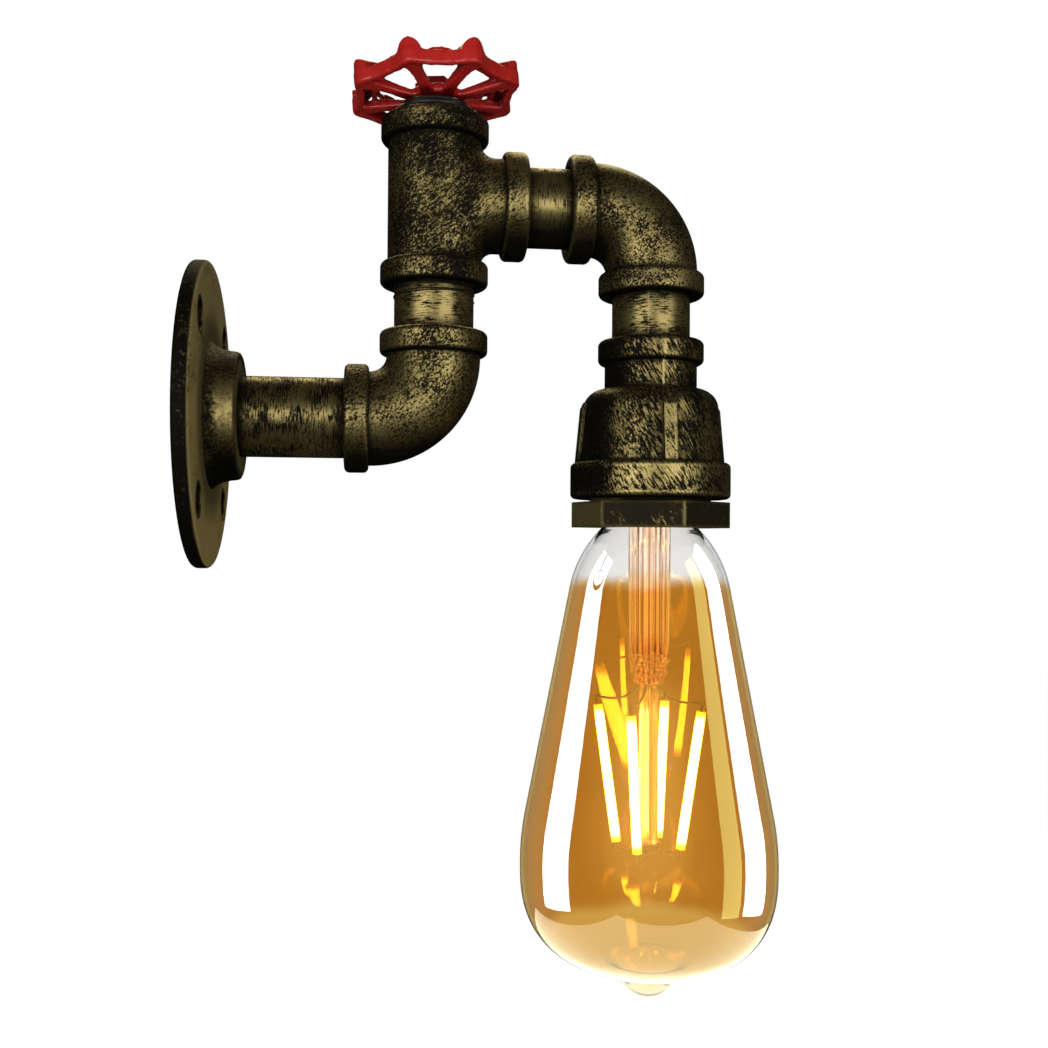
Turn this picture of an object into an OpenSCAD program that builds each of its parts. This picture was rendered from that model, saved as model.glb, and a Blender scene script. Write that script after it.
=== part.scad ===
// Pipe wall light: a wall flange, screwed pipe nipples and cast fittings, a valve wheel
// that turns on top of the tee, and a screw-in filament bulb in a hooded lampholder.
// Frame: the origin is the centre of the flange's back, +X points away from the wall, +Z is up.
// Millimetres.

/* [Pipe] */
// Outside diameter of the half-inch pipe
pipe_od = 21.3; // [20.5:0.1:22]
// Wall of the pipe
pipe_wall = 2.6; // [2:0.1:3.2]
// Depth that a nipple screws into a fitting
thread_engage = 12; // [10:0.5:13]
// Length of the nipple between the flange and the lower elbow
wall_nipple_len = 48.5; // [40:0.5:90]
// Length of the upright nipple between the lower elbow and the tee
riser_nipple_len = 36; // [32:0.5:80]
// Length of the level nipple between the tee and the upper elbow
cross_nipple_len = 35.5; // [32:0.5:80]
// Length of the hanging nipple between the upper elbow and the reducer
drop_nipple_len = 36; // [32:0.5:80]

/* [Fittings] */
// Outside diameter of the bead round each mouth
bead_od = 28.9; // [28:0.1:31]
// Height of the bead
bead_h = 6.4; // [5:0.1:7]
// Rounding of the bead's edges
bead_edge = 1.4; // [0.6:0.1:2]
// Outside diameter of the elbow and tee bodies
body_od = 25.1; // [24.6:0.1:26]
// Elbow, centre to mouth
elbow_reach = 23.5; // [23:0.1:28]
// Bend radius of the elbow's outside
elbow_bend = 17; // [16:0.1:18]
// Tee, centre to each mouth of the run
tee_run = 22.5; // [22:0.1:28]
// Tee, centre to the mouth of the branch
tee_reach = 24.5; // [23.5:0.1:28]
// Fillet between the tee's run and branch
tee_fillet = 3.5; // [2:0.1:5]
// Chamfer at each mouth
mouth_chamfer = 0.8; // [0.4:0.1:1.2]

/* [Wall flange] */
// Diameter of the flange
flange_d = 80; // [76:0.5:90]
// Thickness of the flange's plate
flange_t = 4.2; // [3.5:0.1:6]
// Rounding of the plate's rim
flange_edge = 1.2; // [0.5:0.1:1.6]
// Diameter of the flange's hub
hub_d = 31; // [30:0.5:34]
// Height of the hub from the wall
hub_h = 11.6; // [11:0.1:16]
// Fillet at the foot of the hub
hub_fillet = 2.6; // [1.5:0.1:4]
// Thickness of the lip that the nipple ends on
flange_lip = 2; // [1.5:0.1:3]
// Diameter of the screw holes
screw_hole_d = 7.6; // [5:0.1:8]
// Circle of the screw holes
screw_pcd = 64; // [60:0.5:66]
// Number of screw holes
screw_count = 4; // [3:1:6]

/* [Reducer and ring] */
// Length of the reducing socket
reducer_len = 43.2; // [42:0.1:50]
// Outside diameter of the reducer's neck
neck_od = 25.2; // [24.6:0.1:27]
// Height of the neck, from the top mouth to the shoulder
neck_h = 13.4; // [12.5:0.1:15]
// Outside diameter of the bell at its shoulder
bell_top_od = 37; // [36:0.1:39]
// Outside diameter of the bell above the rim
bell_low_od = 40; // [39:0.1:42]
// Radius of the bell's shoulder
shoulder_r = 5.4; // [4:0.1:6]
// Outside diameter of the rim
rim_od = 43.7; // [42.5:0.1:46]
// Height of the rim
rim_h = 9.8; // [8:0.1:11]
// Width of the four upright ribs on the bell
rib_w = 3.6; // [2:0.1:5]
// How far the ribs stand out of the bell
rib_out = 0.9; // [0.5:0.1:1.3]
// Turn of the ribs about the bell
rib_turn = 2.7; // [0:0.1:89]
// Diameter of the large thread in the bell
bell_thread_d = 33.2; // [33:0.1:33.6]
// Ring, corner to corner
hex_corner_d = 43.4; // [41:0.1:46]
// Height of the hexagon
hex_h = 7; // [5:0.1:9]
// Turn of the hexagon about the drop
hex_turn = 41.5; // [0:0.5:59]
// Gap that the tightened ring leaves under the reducer
ring_gap = 0.8; // [0.3:0.1:1.5]
// Length of the ring's threaded sleeve
sleeve_len = 12; // [11:0.1:13]
// Diameter of the ring's opening
ring_bore_d = 30.6; // [30.4:0.1:31]

/* [Valve wheel] */
// Diameter of the wheel over its corners
wheel_d = 46.8; // [45:0.2:52]
// Number of spokes and corners
spoke_count = 8; // [6:1:9]
// How far the outline draws in between two corners
lobe_depth = 3.2; // [1:0.1:4]
// Wall of the rim's outer band
wheel_rim_w = 1.9; // [1.5:0.1:2.6]
// Height of the band
wheel_rim_h = 3.7; // [2.8:0.1:4.5]
// How far the band lies above the foot of the hub
wheel_dish = 1.2; // [1:0.1:4]
// How far the ear on each corner stands above the band
ear_h = 3.1; // [1.5:0.1:4]
// Width of an ear
ear_w = 6.2; // [4.5:0.1:7]
// How far an ear reaches inwards, over to the arched wall
ear_t = 6.6; // [6:0.1:6.8]
// Height of the slot under an ear
ear_slot_h = 2.7; // [1.6:0.1:2.8]
// Radius of the inner wall that arches between two spokes
arch_in_r = 15.4; // [14:0.1:17]
// Thickness of the arched wall
arch_t = 1.5; // [1:0.1:2]
// How far the arched wall stands above the band
arch_h = 2.9; // [1:0.1:4]
// Width of a spoke where it is narrowest
spoke_w = 2.6; // [2.2:0.1:4]
// How far each side of a spoke flares where it meets the band
spoke_flare = 2.0; // [1:0.1:4.4]
// Diameter of the wheel's hub
wheel_hub_d = 15; // [13:0.1:16]
// Height of the wheel's hub
wheel_hub_h = 3; // [2.8:0.1:6]
// Turn of the wheel at rest
wheel_turn = -19.4; // [-180:0.1:180]
// How far the wheel's spindle leans towards the wall, in degrees
lean_wall = 4.2; // [-5:0.1:5]
// How far the wheel's spindle leans to the far side, in degrees
lean_far = 5.2; // [-6:0.1:6]
// Diameter of the spindle
spindle_d = 6; // [5:0.1:6.5]
// How far the plug stands out of the tee
plug_out = 4.4; // [2.5:0.1:6]
// Diameter of the plug above the tee
plug_od = 23.2; // [22.6:0.1:24.4]
// How far the plug's head draws in towards its top
plug_dome = 3.4; // [0.5:0.1:3.8]
// Thickness of the washer
washer_t = 0.6; // [0.5:0.1:1.6]
// Diameter of the washer
washer_d = 11; // [10.4:0.1:12.6]
// Nut, flat to flat
nut_af = 8.8; // [8.5:0.1:10.5]
// Height of the nut
nut_h = 2.2; // [2:0.1:5]

/* [Lampholder] */
// Outside diameter of the lampholder below its flange
holder_od = 30; // [29.8:0.1:30.2]
// Thickness of the lampholder's flange
holder_flange_t = 3; // [2:0.1:4]
// Depth of the lampholder below its flange
holder_depth = 10.5; // [9:0.1:11]
// Height of the lampholder above its flange
holder_top_h = 11.7; // [11.5:0.1:13]
// Thickness of the lampholder's floor
holder_floor_t = 3; // [2:0.1:3.2]
// Diameter inside the brass screw shell
shell_id = 26.7; // [26.5:0.1:27]
// Wall of the screw shell
shell_t = 0.35; // [0.3:0.05:0.5]
// Diameter of the supply lead
lead_d = 6; // [5:0.1:7]
// Height of the cord grip
grip_h = 4; // [3:0.1:5]

/* [Bulb] */
// Largest diameter of the glass
bulb_d = 70; // [64:0.2:76]
// Length of the glass below the cap, without its pip
bulb_len = 123.1; // [116:0.1:136]
// Height of the rounded bottom, from the widest place down
belly_h = 28.5; // [25:0.1:32]
// Fullness of the rounded bottom: 2 is an ellipse, more is squarer
belly_full = 2.68; // [2:0.02:3.2]
// Radius of the long curve between the cone and the belly
flank_r = 70; // [55:1:110]
// Half angle of the glass cone
cone_angle = 10.95; // [10:0.05:12]
// Radius of the shoulder under the cap
bulb_shoulder_r = 32; // [28:0.5:36]
// Where the shoulder runs into the cone, below the cap
shoulder_drop = 20; // [17:0.5:23]
// Diameter of the glass neck inside the cap
bulb_neck_d = 24.8; // [24:0.1:25.1]
// Wall of the glass
glass_t = 0.9; // [0.7:0.1:1.2]
// Height of the pip at the bottom
pip_h = 8.6; // [6:0.1:10]
// Diameter of the pip
pip_d = 16.4; // [12:0.1:18]
// How far the foot of the pip flares into the glass
pip_flare = 3.2; // [2:0.1:5]
// Diameter of the screw cap
cap_d = 26.1; // [25.9:0.1:26.2]
// Length of the screw cap's shell
cap_len = 20; // [19:0.1:21]
// Diameter of the glass stem
stem_d = 11.4; // [10:0.1:12]
// Length of the stem below the cap
stem_len = 45.7; // [40:0.5:50]
// Diameter of the glass rod between the filaments
rod_d = 5.2; // [3:0.1:6]
// Length of a filament
filament_len = 37.8; // [34:0.1:40]
// Diameter of a filament
filament_d = 2.2; // [1.5:0.1:2.6]
// Number of filaments
filament_count = 4; // [2:1:6]
// Distance of the filaments' upper ends from the axis
filament_top_r = 14.8; // [12:0.1:17]
// Distance of the filaments' lower ends from the axis
filament_low_r = 9.2; // [7:0.1:11]
// Turn of the filaments about the axis
filament_turn = 59; // [0:1:89]
// Diameter of the support wires
wire_d = 0.7; // [0.5:0.05:1]

/* [Clearances] */
// Radial room of a screwed joint
screw_clear = 0.05; // [0.03:0.01:0.1]
// Radial room of the wheel on its spindle
run_clear = 0.05; // [0.03:0.01:0.09]
// Axial room under and over the wheel's hub
end_clear = 0.1; // [0.05:0.05:0.3]
// Room between pieces that only lie beside each other
side_clear = 0.2; // [0.15:0.05:0.3]

/* [Hidden] */
$fn = 64;
tiny = 0.01;
cut = 1;

pipe_r = pipe_od / 2;
bore_r = pipe_r - pipe_wall;
socket_r = pipe_r + screw_clear;
bead_r = bead_od / 2;
body_r = body_od / 2;
passage_r = bore_r + 0.2;

// Places along the run of pipe, from the wall to the lamp
wall_mouth_x = flange_lip + wall_nipple_len - thread_engage;
riser_x = wall_mouth_x + elbow_reach;
tee_z = elbow_reach + riser_nipple_len - 2 * thread_engage + tee_run;
tee_top_z = tee_z + tee_run;
drop_x = riser_x + tee_reach + cross_nipple_len - 2 * thread_engage + elbow_reach;
reducer_top_z = tee_z - elbow_reach - drop_nipple_len + 2 * thread_engage;
reducer_low_z = reducer_top_z - reducer_len;
hex_top_z = reducer_low_z - ring_gap;
hex_low_z = hex_top_z - hex_h;

// Lampholder: its flange is held between the ring's sleeve and the step inside the bell
sleeve_top_z = hex_top_z + sleeve_len;
step_z = sleeve_top_z + holder_flange_t;
holder_low_z = sleeve_top_z - holder_depth;
holder_top_z = step_z + holder_top_h;
floor_z = holder_top_z - holder_floor_t;
holder_r = holder_od / 2;
holder_flange_r = bell_thread_d / 2 - side_clear;
shell_r = shell_id / 2;
shell_out_r = shell_r + shell_t;
contact_t = 0.5;
contact_gap = 0.1;
shell_mouth = 1;
terminal_r = 7.4;
screw_shank_r = 1.2;
screw_head_r = 1.9;
screw_head_h = 1.2;

// Bulb: its cap's tip lies just under the lampholder's contact
tip_h = 1.4;
insulator_h = 3.2;
cap_cone_h = 2;
cap_t = 0.35;
cap_top_t = 0.4;
cap_r = cap_d / 2;
cap_cone_r = cap_r - 3;
tip_r = 4.8;
tip_top_z = floor_z - contact_t - contact_gap;
insulator_z = tip_top_z - tip_h - insulator_h;
cap_rim_z = insulator_z - cap_cone_h - cap_len;

// Valve wheel
plug_top_z = tee_top_z + plug_out;
wheel_foot = end_clear;
wheel_r = wheel_d / 2;
wheel_hub_r = wheel_hub_d / 2;
spindle_r = spindle_d / 2;
washer_foot = wheel_foot + wheel_hub_h + end_clear;
nut_foot = washer_foot + washer_t;
spindle_end = nut_foot + nut_h + 0.3;
plug_low_z = tee_top_z - thread_engage + 1;
spindle_root = 8;

bronze = [0.30, 0.26, 0.13];
worn_bronze = [0.40, 0.35, 0.19];
valve_red = [0.66, 0.10, 0.09];
black_steel = [0.07, 0.07, 0.07];
brass = [0.78, 0.62, 0.32];
phenolic = [0.10, 0.09, 0.085];
amber = [0.93, 0.66, 0.24, 0.45];
clear_glass = [0.90, 0.88, 0.84, 0.5];

// Outlines

// Half section of a ring from r_in to r_out, with its two outer edges rounded
module band(r_in, r_out, h, edge) {
    translate([r_in, 0]) square([r_out - edge - r_in, h]);
    translate([r_in, edge]) square([r_out - r_in, h - 2 * edge]);
    translate([r_out - edge, edge]) circle(r = edge);
    translate([r_out - edge, h - edge]) circle(r = edge);
}

// Concave fillet that fills the corner right of and above the origin
module corner_fillet(size) {
    difference() {
        translate([-tiny, -tiny]) square(size + tiny);
        translate([size, size]) circle(r = size);
    }
}

// A polygon grown by a radius, so that its corners are round
module round_polygon(points, radius) {
    last = len(points) - 1;
    polygon(points);
    for (i = [0 : last]) {
        a = points[i];
        b = points[i == last ? 0 : i + 1];
        along = (b - a) / norm(b - a);
        out = radius * [along[1], -along[0]];
        polygon([a, a + out, b + out, b]);
        translate(a) circle(r = radius);
    }
}

// Points of an arc, from one angle to another
function arc(centre, radius, from, to, steps) = [
    for (i = [0 : steps]) let (a = from + (to - from) * i / steps) centre + radius * [cos(a), sin(a)]
];

// Shared shapes of the cast fittings

// Rod that bends from the -X axis to the +Z axis
module quarter_bend(bend, radius) {
    translate([-bend, 0, bend]) rotate([90, 0, 0]) rotate([0, 0, -90])
        rotate_extrude(angle = 90) translate([bend, 0]) circle(r = radius);
}

// Bead round a mouth that opens along +Z at the origin
module mouth_bead() {
    translate([0, 0, -bead_h]) rotate_extrude() band(bore_r, bead_r, bead_h, bead_edge);
}

// Threaded socket that opens along +Z at the origin
module mouth_socket() {
    translate([0, 0, -thread_engage]) cylinder(r = socket_r, h = thread_engage + cut);
    translate([0, 0, -mouth_chamfer])
        cylinder(r1 = socket_r, r2 = socket_r + mouth_chamfer + cut, h = mouth_chamfer + cut);
}

module towards_wall() { rotate([0, -90, 0]) children(); }
module towards_room() { rotate([0, 90, 0]) children(); }
module downwards() { rotate([180, 0, 0]) children(); }

// Elbow with its mouths along -X and +Z, centred where the two axes cross
module elbow() {
    difference() {
        union() {
            quarter_bend(elbow_bend, body_r);
            towards_wall() translate([0, 0, elbow_bend]) cylinder(r = body_r, h = elbow_reach - elbow_bend);
            translate([0, 0, elbow_bend]) cylinder(r = body_r, h = elbow_reach - elbow_bend);
            towards_wall() translate([0, 0, elbow_reach]) mouth_bead();
            translate([0, 0, elbow_reach]) mouth_bead();
        }
        quarter_bend(elbow_reach - thread_engage, passage_r);
        towards_wall() translate([0, 0, elbow_reach]) mouth_socket();
        translate([0, 0, elbow_reach]) mouth_socket();
    }
}

// Pipe nipple that stands on the origin, along +Z
module nipple(length) {
    difference() {
        cylinder(r = pipe_r, h = length);
        translate([0, 0, -cut]) cylinder(r = bore_r, h = length + 2 * cut);
    }
}

// Wall flange: a round cast plate with four screw holes and a threaded hub
module wall_flange() {
    color(bronze) towards_room() difference() {
        rotate_extrude() {
            band(bore_r - 1, flange_d / 2, flange_t, flange_edge);
            band(bore_r - 1, hub_d / 2, hub_h, bead_edge);
            translate([hub_d / 2, flange_t]) corner_fillet(hub_fillet);
        }
        translate([0, 0, -cut]) cylinder(r = passage_r, h = hub_h + 2 * cut);
        translate([0, 0, flange_lip]) cylinder(r = socket_r, h = hub_h);
        for (i = [0 : screw_count - 1])
            rotate([0, 0, 180 / screw_count + i * 360 / screw_count])
                translate([screw_pcd / 2, 0, -cut]) cylinder(d = screw_hole_d, h = flange_t + 2 * cut);
    }
}

module wall_nipple() {
    color(worn_bronze) translate([flange_lip, 0, 0]) towards_room() nipple(wall_nipple_len);
}

module lower_elbow() {
    color(bronze) translate([riser_x, 0, 0]) elbow();
}

module riser_nipple() {
    color(worn_bronze) translate([riser_x, 0, elbow_reach - thread_engage]) nipple(riser_nipple_len);
}

// Tee: the run stands upright and the branch points away from the wall
module tee() {
    branch_bend = body_r + tee_fillet;
    color(bronze) translate([riser_x, 0, tee_z]) difference() {
        union() {
            translate([0, 0, -tee_run]) cylinder(r = body_r, h = 2 * tee_run);
            towards_room() cylinder(r = body_r, h = tee_reach);
            mirror([1, 0, 0]) quarter_bend(branch_bend, body_r - tiny);
            mirror([1, 0, 0]) mirror([0, 0, 1]) quarter_bend(branch_bend, body_r - tiny);
            translate([0, 0, tee_run]) mouth_bead();
            downwards() translate([0, 0, tee_run]) mouth_bead();
            towards_room() translate([0, 0, tee_reach]) mouth_bead();
        }
        translate([0, 0, -tee_run]) cylinder(r = passage_r, h = 2 * tee_run);
        towards_room() cylinder(r = passage_r, h = tee_reach);
        translate([0, 0, tee_run]) mouth_socket();
        downwards() translate([0, 0, tee_run]) mouth_socket();
        towards_room() translate([0, 0, tee_reach]) mouth_socket();
    }
}

module cross_nipple() {
    start_x = riser_x + tee_reach - thread_engage;
    color(worn_bronze) translate([start_x, 0, tee_z]) towards_room() nipple(cross_nipple_len);
}

module upper_elbow() {
    color(bronze) translate([drop_x, 0, tee_z]) mirror([0, 0, 1]) elbow();
}

module drop_nipple() {
    color(worn_bronze) translate([drop_x, 0, reducer_top_z - thread_engage]) nipple(drop_nipple_len);
}

// Reducing socket: a bead and neck on the small thread, a ribbed bell and a rim on the large one
module reducer() {
    bell_top = bell_top_od / 2;
    bell_low = bell_low_od / 2;
    bell_h = reducer_len - neck_h - rim_h;
    shoulder_z = rim_h + bell_h;
    cavity_r = bell_thread_d / 2 - 1.3;
    cavity_top = reducer_len - thread_engage - 1.5;
    step_h = step_z - reducer_low_z;
    color(bronze) translate([drop_x, 0, reducer_low_z]) difference() {
        union() {
            rotate_extrude() {
                band(bore_r, rim_od / 2, rim_h, bead_edge);
                polygon(concat(
                    [[bore_r, rim_h - bead_edge], [bell_low, rim_h - bead_edge], [bell_low, rim_h]],
                    arc([bell_top - shoulder_r, shoulder_z - shoulder_r], shoulder_r, 0, 90, 12),
                    [[bore_r, shoulder_z]]
                ));
                translate([0, shoulder_z - tiny]) square([neck_od / 2, neck_h - bead_edge]);
            }
            translate([0, 0, reducer_len]) mouth_bead();
            reducer_ribs(bell_top, bell_low, rim_h - bead_edge, shoulder_z - shoulder_r);
        }
        translate([0, 0, -cut]) cylinder(d = bell_thread_d, h = step_h + cut);
        translate([0, 0, -cut])
            cylinder(
                r1 = bell_thread_d / 2 + mouth_chamfer + cut, r2 = bell_thread_d / 2, h = mouth_chamfer + cut
            );
        translate([0, 0, step_h - tiny]) cylinder(r = cavity_r, h = shoulder_z - shoulder_r - step_h + tiny);
        translate([0, 0, shoulder_z - shoulder_r - tiny])
            cylinder(r1 = cavity_r, r2 = passage_r, h = cavity_top - shoulder_z + shoulder_r + tiny);
        translate([0, 0, cavity_top - tiny]) cylinder(r = passage_r, h = reducer_len - cavity_top);
        translate([0, 0, reducer_len]) mouth_socket();
    }
}

// Four upright ribs that follow the taper of the bell
module reducer_ribs(top_r, low_r, z_low, z_top) {
    root = 4;
    for (i = [0 : 3])
        rotate([90, 0, rib_turn + 90 * i])
            translate([0, 0, -rib_w / 2]) linear_extrude(rib_w) polygon([
                [low_r - root, z_low], [low_r + rib_out, z_low],
                [top_r + rib_out, z_top], [top_r, z_top + rib_out * 2], [top_r - root, z_top]
            ]);
}

// Lock ring: a hexagon with a threaded sleeve that holds the lampholder in the bell
module lock_ring() {
    sleeve_r = bell_thread_d / 2 - screw_clear;
    color(bronze) translate([drop_x, 0, hex_low_z]) difference() {
        union() {
            rotate([0, 0, hex_turn]) cylinder(d = hex_corner_d, h = hex_h, $fn = 6);
            cylinder(r = sleeve_r, h = hex_h + sleeve_len);
        }
        translate([0, 0, -cut]) cylinder(d = ring_bore_d, h = hex_h + sleeve_len + 2 * cut);
        translate([0, 0, -cut])
            cylinder(r1 = ring_bore_d / 2 + mouth_chamfer + cut, r2 = ring_bore_d / 2, h = mouth_chamfer + cut);
    }
}

// Plug in the top of the tee, with turns of its thread left showing
module top_plug() {
    turns = 3;
    head_r = plug_od / 2;
    groove = 0.45;
    thread_r = pipe_r - screw_clear;
    color(black_steel) translate([riser_x, 0, 0]) difference() {
        rotate_extrude() polygon(concat(
            [[0, plug_low_z], [thread_r, plug_low_z], [thread_r, tee_top_z], [head_r - groove, tee_top_z]],
            [for (i = [0 : turns - 1], p = [[0, 0.3], [0, 0.7], [groove, 1]]) let (t = (i + p[1]) / turns)
                [head_r - plug_dome * pow(t, 1.7) - p[0], tee_top_z + t * plug_out]],
            [[0, plug_top_z]]
        ));
        leaning() cylinder(d = plug_od, h = plug_od);
        leaning() translate([0, 0, -spindle_root]) cylinder(r = spindle_r + screw_clear, h = spindle_root + cut);
    }
}

// Places a piece on the plug's seat, which is faced square to the leaning spindle
module leaning() {
    translate([0, 0, plug_top_z]) rotate([-lean_far, -lean_wall, 0]) children();
}

module wheel_spindle() {
    tip = 0.6;
    color(black_steel) translate([riser_x, 0, 0]) leaning() {
        translate([0, 0, -spindle_root]) cylinder(r = spindle_r, h = spindle_root + spindle_end - tip);
        translate([0, 0, spindle_end - tip]) cylinder(r1 = spindle_r, r2 = spindle_r - tip, h = tip);
    }
}

// Distance of the wheel's outline from its axis, largest at each spoke
function wheel_outline(a) = wheel_r
    - lobe_depth * (0.5 - 0.4 * cos(spoke_count * a) - 0.1 * cos(2 * spoke_count * a));

// Valve wheel: a casting whose rim is a wave. Its outer band carries an ear on every corner, an inner
// wall arches up between two spokes, and each ear bends over to that wall with a slot under it.
module valve_wheel() {
    band_top = wheel_dish + wheel_rim_h;
    ear_r = ear_w / 2;
    arch_low = wheel_dish + 2.1;
    slot_r = ear_slot_h / 2;
    step = 360 / spoke_count;
    color(valve_red) translate([riser_x, 0, 0]) leaning()
    translate([0, 0, wheel_foot]) rotate([0, 0, wheel_turn]) difference() {
        union() {
            rotate_extrude() band(spindle_r / 2, wheel_hub_r, wheel_hub_h, 1);
            translate([0, 0, wheel_dish]) linear_extrude(wheel_rim_h) difference() {
                wheel_plan(0);
                wheel_plan(wheel_rim_w);
            }
            for (i = [0 : spoke_count - 1]) {
                rotate([0, 0, i * step]) {
                    wheel_spoke(band_top);
                    intersection() {
                        translate([0, 0, band_top - 1]) linear_extrude(ear_h + 1 + cut) difference() {
                            wheel_plan(0.2);
                            wheel_plan(ear_t);
                        }
                        translate([0, 0, band_top + ear_h - ear_r]) towards_room()
                            cylinder(r = ear_r, h = wheel_r + cut);
                    }
                }
                rotate([0, 0, (i + 0.5) * step]) wheel_arch(arch_low, band_top + arch_h);
            }
        }
        translate([0, 0, -cut]) cylinder(r = spindle_r + run_clear, h = wheel_hub_h + 2 * cut);
        for (i = [0 : spoke_count - 1], in = [0, 1]) rotate([0, 0, i * step])
            translate([arch_in_r + 3 - in, ear_w / 2 + 0.5, band_top - 1.2 + slot_r]) rotate([90, 0, 0])
                cylinder(r = slot_r, h = ear_w + 1);
    }
}

// Spoke along +X: it bows down between the hub and the band and flares at both ends
module wheel_spoke(band_top) {
    start = wheel_hub_r - 1.5;
    end = wheel_r - wheel_rim_w + 0.2;
    foot_low = 0.3;
    foot_high = wheel_hub_h - 0.8;
    hub_flare = 0.8;
    steps = 10;
    side = [for (i = [0 : steps]) let (t = i / steps) [
        start + (end - start) * t, spoke_w / 2 + hub_flare * pow(1 - t, 4) + spoke_flare * pow(t, 5)
    ]];
    wide = spoke_w + spoke_flare;
    intersection() {
        linear_extrude(band_top + cut) polygon(concat(
            side, [for (i = [steps : -1 : 0]) [side[i][0], -side[i][1]]]
        ));
        translate([0, wide, 0]) rotate([90, 0, 0]) linear_extrude(2 * wide) polygon([
            [start - cut, foot_low], [wheel_hub_r, foot_low], [arch_in_r, wheel_dish],
            [end + cut, wheel_dish + 0.4], [end + cut, band_top - 0.9], [arch_in_r, band_top - 1],
            [wheel_hub_r, foot_high], [start - cut, foot_high]
        ]);
    }
}

// Inner wall along +X: it arches from one spoke to the next
module wheel_arch(low, high) {
    half_w = arch_in_r * tan(180 / spoke_count);
    rise = high - low - 0.8;
    arch_r = (pow(half_w, 2) + pow(rise, 2)) / (2 * rise);
    intersection() {
        translate([arch_in_r, 0, high - arch_r]) towards_room() cylinder(r = arch_r, h = arch_t);
        translate([arch_in_r - cut, -half_w, low + 0.15]) cube([arch_t + 2 * cut, 2 * half_w, high]);
    }
}

// Outline of the wheel from above, moved inwards by a wall
module wheel_plan(wall) {
    steps = 12 * spoke_count;
    polygon([
        for (i = [0 : steps - 1]) let (a = i * 360 / steps) (wheel_outline(a) - wall) * [cos(a), sin(a)]
    ]);
}

module wheel_washer() {
    color(valve_red) translate([riser_x, 0, 0]) leaning() translate([0, 0, washer_foot]) difference() {
        cylinder(d = washer_d, h = washer_t);
        translate([0, 0, -cut]) cylinder(r = spindle_r + side_clear, h = washer_t + 2 * cut);
    }
}

module wheel_nut() {
    color(valve_red) translate([riser_x, 0, 0]) leaning() translate([0, 0, nut_foot]) difference() {
        cylinder(d = nut_af / cos(30), h = nut_h, $fn = 6);
        translate([0, 0, -cut]) cylinder(r = spindle_r + screw_clear, h = nut_h + 2 * cut);
    }
}

// Lampholder: a moulded body with a flange, its floor above and its mouth below
module lampholder_body() {
    chamfer_h = holder_floor_t;
    chamfer_in = 2.4;
    upper_r = holder_r - 0.1;
    pocket_r = shell_out_r + screw_clear;
    color(phenolic) translate([drop_x, 0, 0]) difference() {
        rotate_extrude() polygon([
            [0, holder_low_z], [holder_r, holder_low_z],
            [holder_r, sleeve_top_z], [holder_flange_r, sleeve_top_z],
            [holder_flange_r, step_z], [upper_r, step_z], [upper_r, holder_top_z - chamfer_h],
            [upper_r - chamfer_in, holder_top_z], [0, holder_top_z]
        ]);
        translate([0, 0, holder_low_z - cut]) cylinder(r = pocket_r, h = floor_z - holder_low_z + cut);
        for (side = [-1, 1])
            translate([side * terminal_r, 0, floor_z - cut])
                cylinder(r = screw_shank_r + screw_clear, h = holder_floor_t + 2 * cut);
    }
}

module lampholder_shell() {
    shell_low = holder_low_z + shell_mouth;
    color(brass) translate([drop_x, 0, shell_low]) difference() {
        cylinder(r = shell_out_r, h = floor_z - shell_low);
        translate([0, 0, -cut]) cylinder(r = shell_r, h = floor_z - shell_low + 2 * cut);
    }
}

// Spring tongue that the tip of the bulb presses
module lampholder_contact() {
    tongue_w = 5;
    tongue_l = 10;
    color(brass) translate([drop_x, 0, floor_z - contact_t]) linear_extrude(contact_t) {
        circle(r = tip_r - 0.8);
        translate([-tongue_l + tip_r, -tongue_w / 2]) square([tongue_l - tip_r, tongue_w]);
    }
}

module terminal_screws() {
    shank_len = holder_floor_t - 0.4;
    color(brass) for (side = [-1, 1]) translate([drop_x + side * terminal_r, 0, holder_top_z]) difference() {
        union() {
            translate([0, 0, -shank_len]) cylinder(r = screw_shank_r, h = shank_len + tiny);
            cylinder(r = screw_head_r, h = screw_head_h);
        }
        translate([-screw_head_r - cut, -0.3, screw_head_h - 0.6]) cube([2 * (screw_head_r + cut), 0.6, 1]);
    }
}

module cord_grip() {
    grip_r = lead_d / 2 + 1.8;
    color(black_steel) translate([drop_x, 0, holder_top_z]) difference() {
        cylinder(r1 = grip_r, r2 = grip_r - 0.6, h = grip_h);
        translate([0, 0, -cut]) cylinder(r = lead_d / 2 + screw_clear, h = grip_h + 2 * cut);
    }
}

// Supply lead inside the pipes, from the back of the flange to the lampholder
module supply_lead() {
    lead_r = lead_d / 2;
    back_x = 1;
    turn = elbow_bend;
    tee_turn = tee_reach - thread_engage;
    color([0.85, 0.84, 0.8]) union() {
        translate([back_x, 0, 0]) towards_room() cylinder(r = lead_r, h = riser_x - turn - back_x);
        translate([riser_x, 0, 0]) quarter_bend(turn, lead_r);
        translate([riser_x, 0, turn]) cylinder(r = lead_r, h = tee_z - tee_turn - turn);
        translate([riser_x, 0, tee_z]) mirror([1, 0, 0]) mirror([0, 0, 1]) quarter_bend(tee_turn, lead_r);
        translate([riser_x + tee_turn, 0, tee_z]) towards_room()
            cylinder(r = lead_r, h = drop_x - turn - riser_x - tee_turn);
        translate([drop_x, 0, tee_z]) mirror([0, 0, 1]) quarter_bend(turn, lead_r);
        translate([drop_x, 0, holder_top_z]) cylinder(r = lead_r, h = tee_z - turn - holder_top_z);
    }
}

// Bulb, drawn downwards from the rim of its cap

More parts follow.
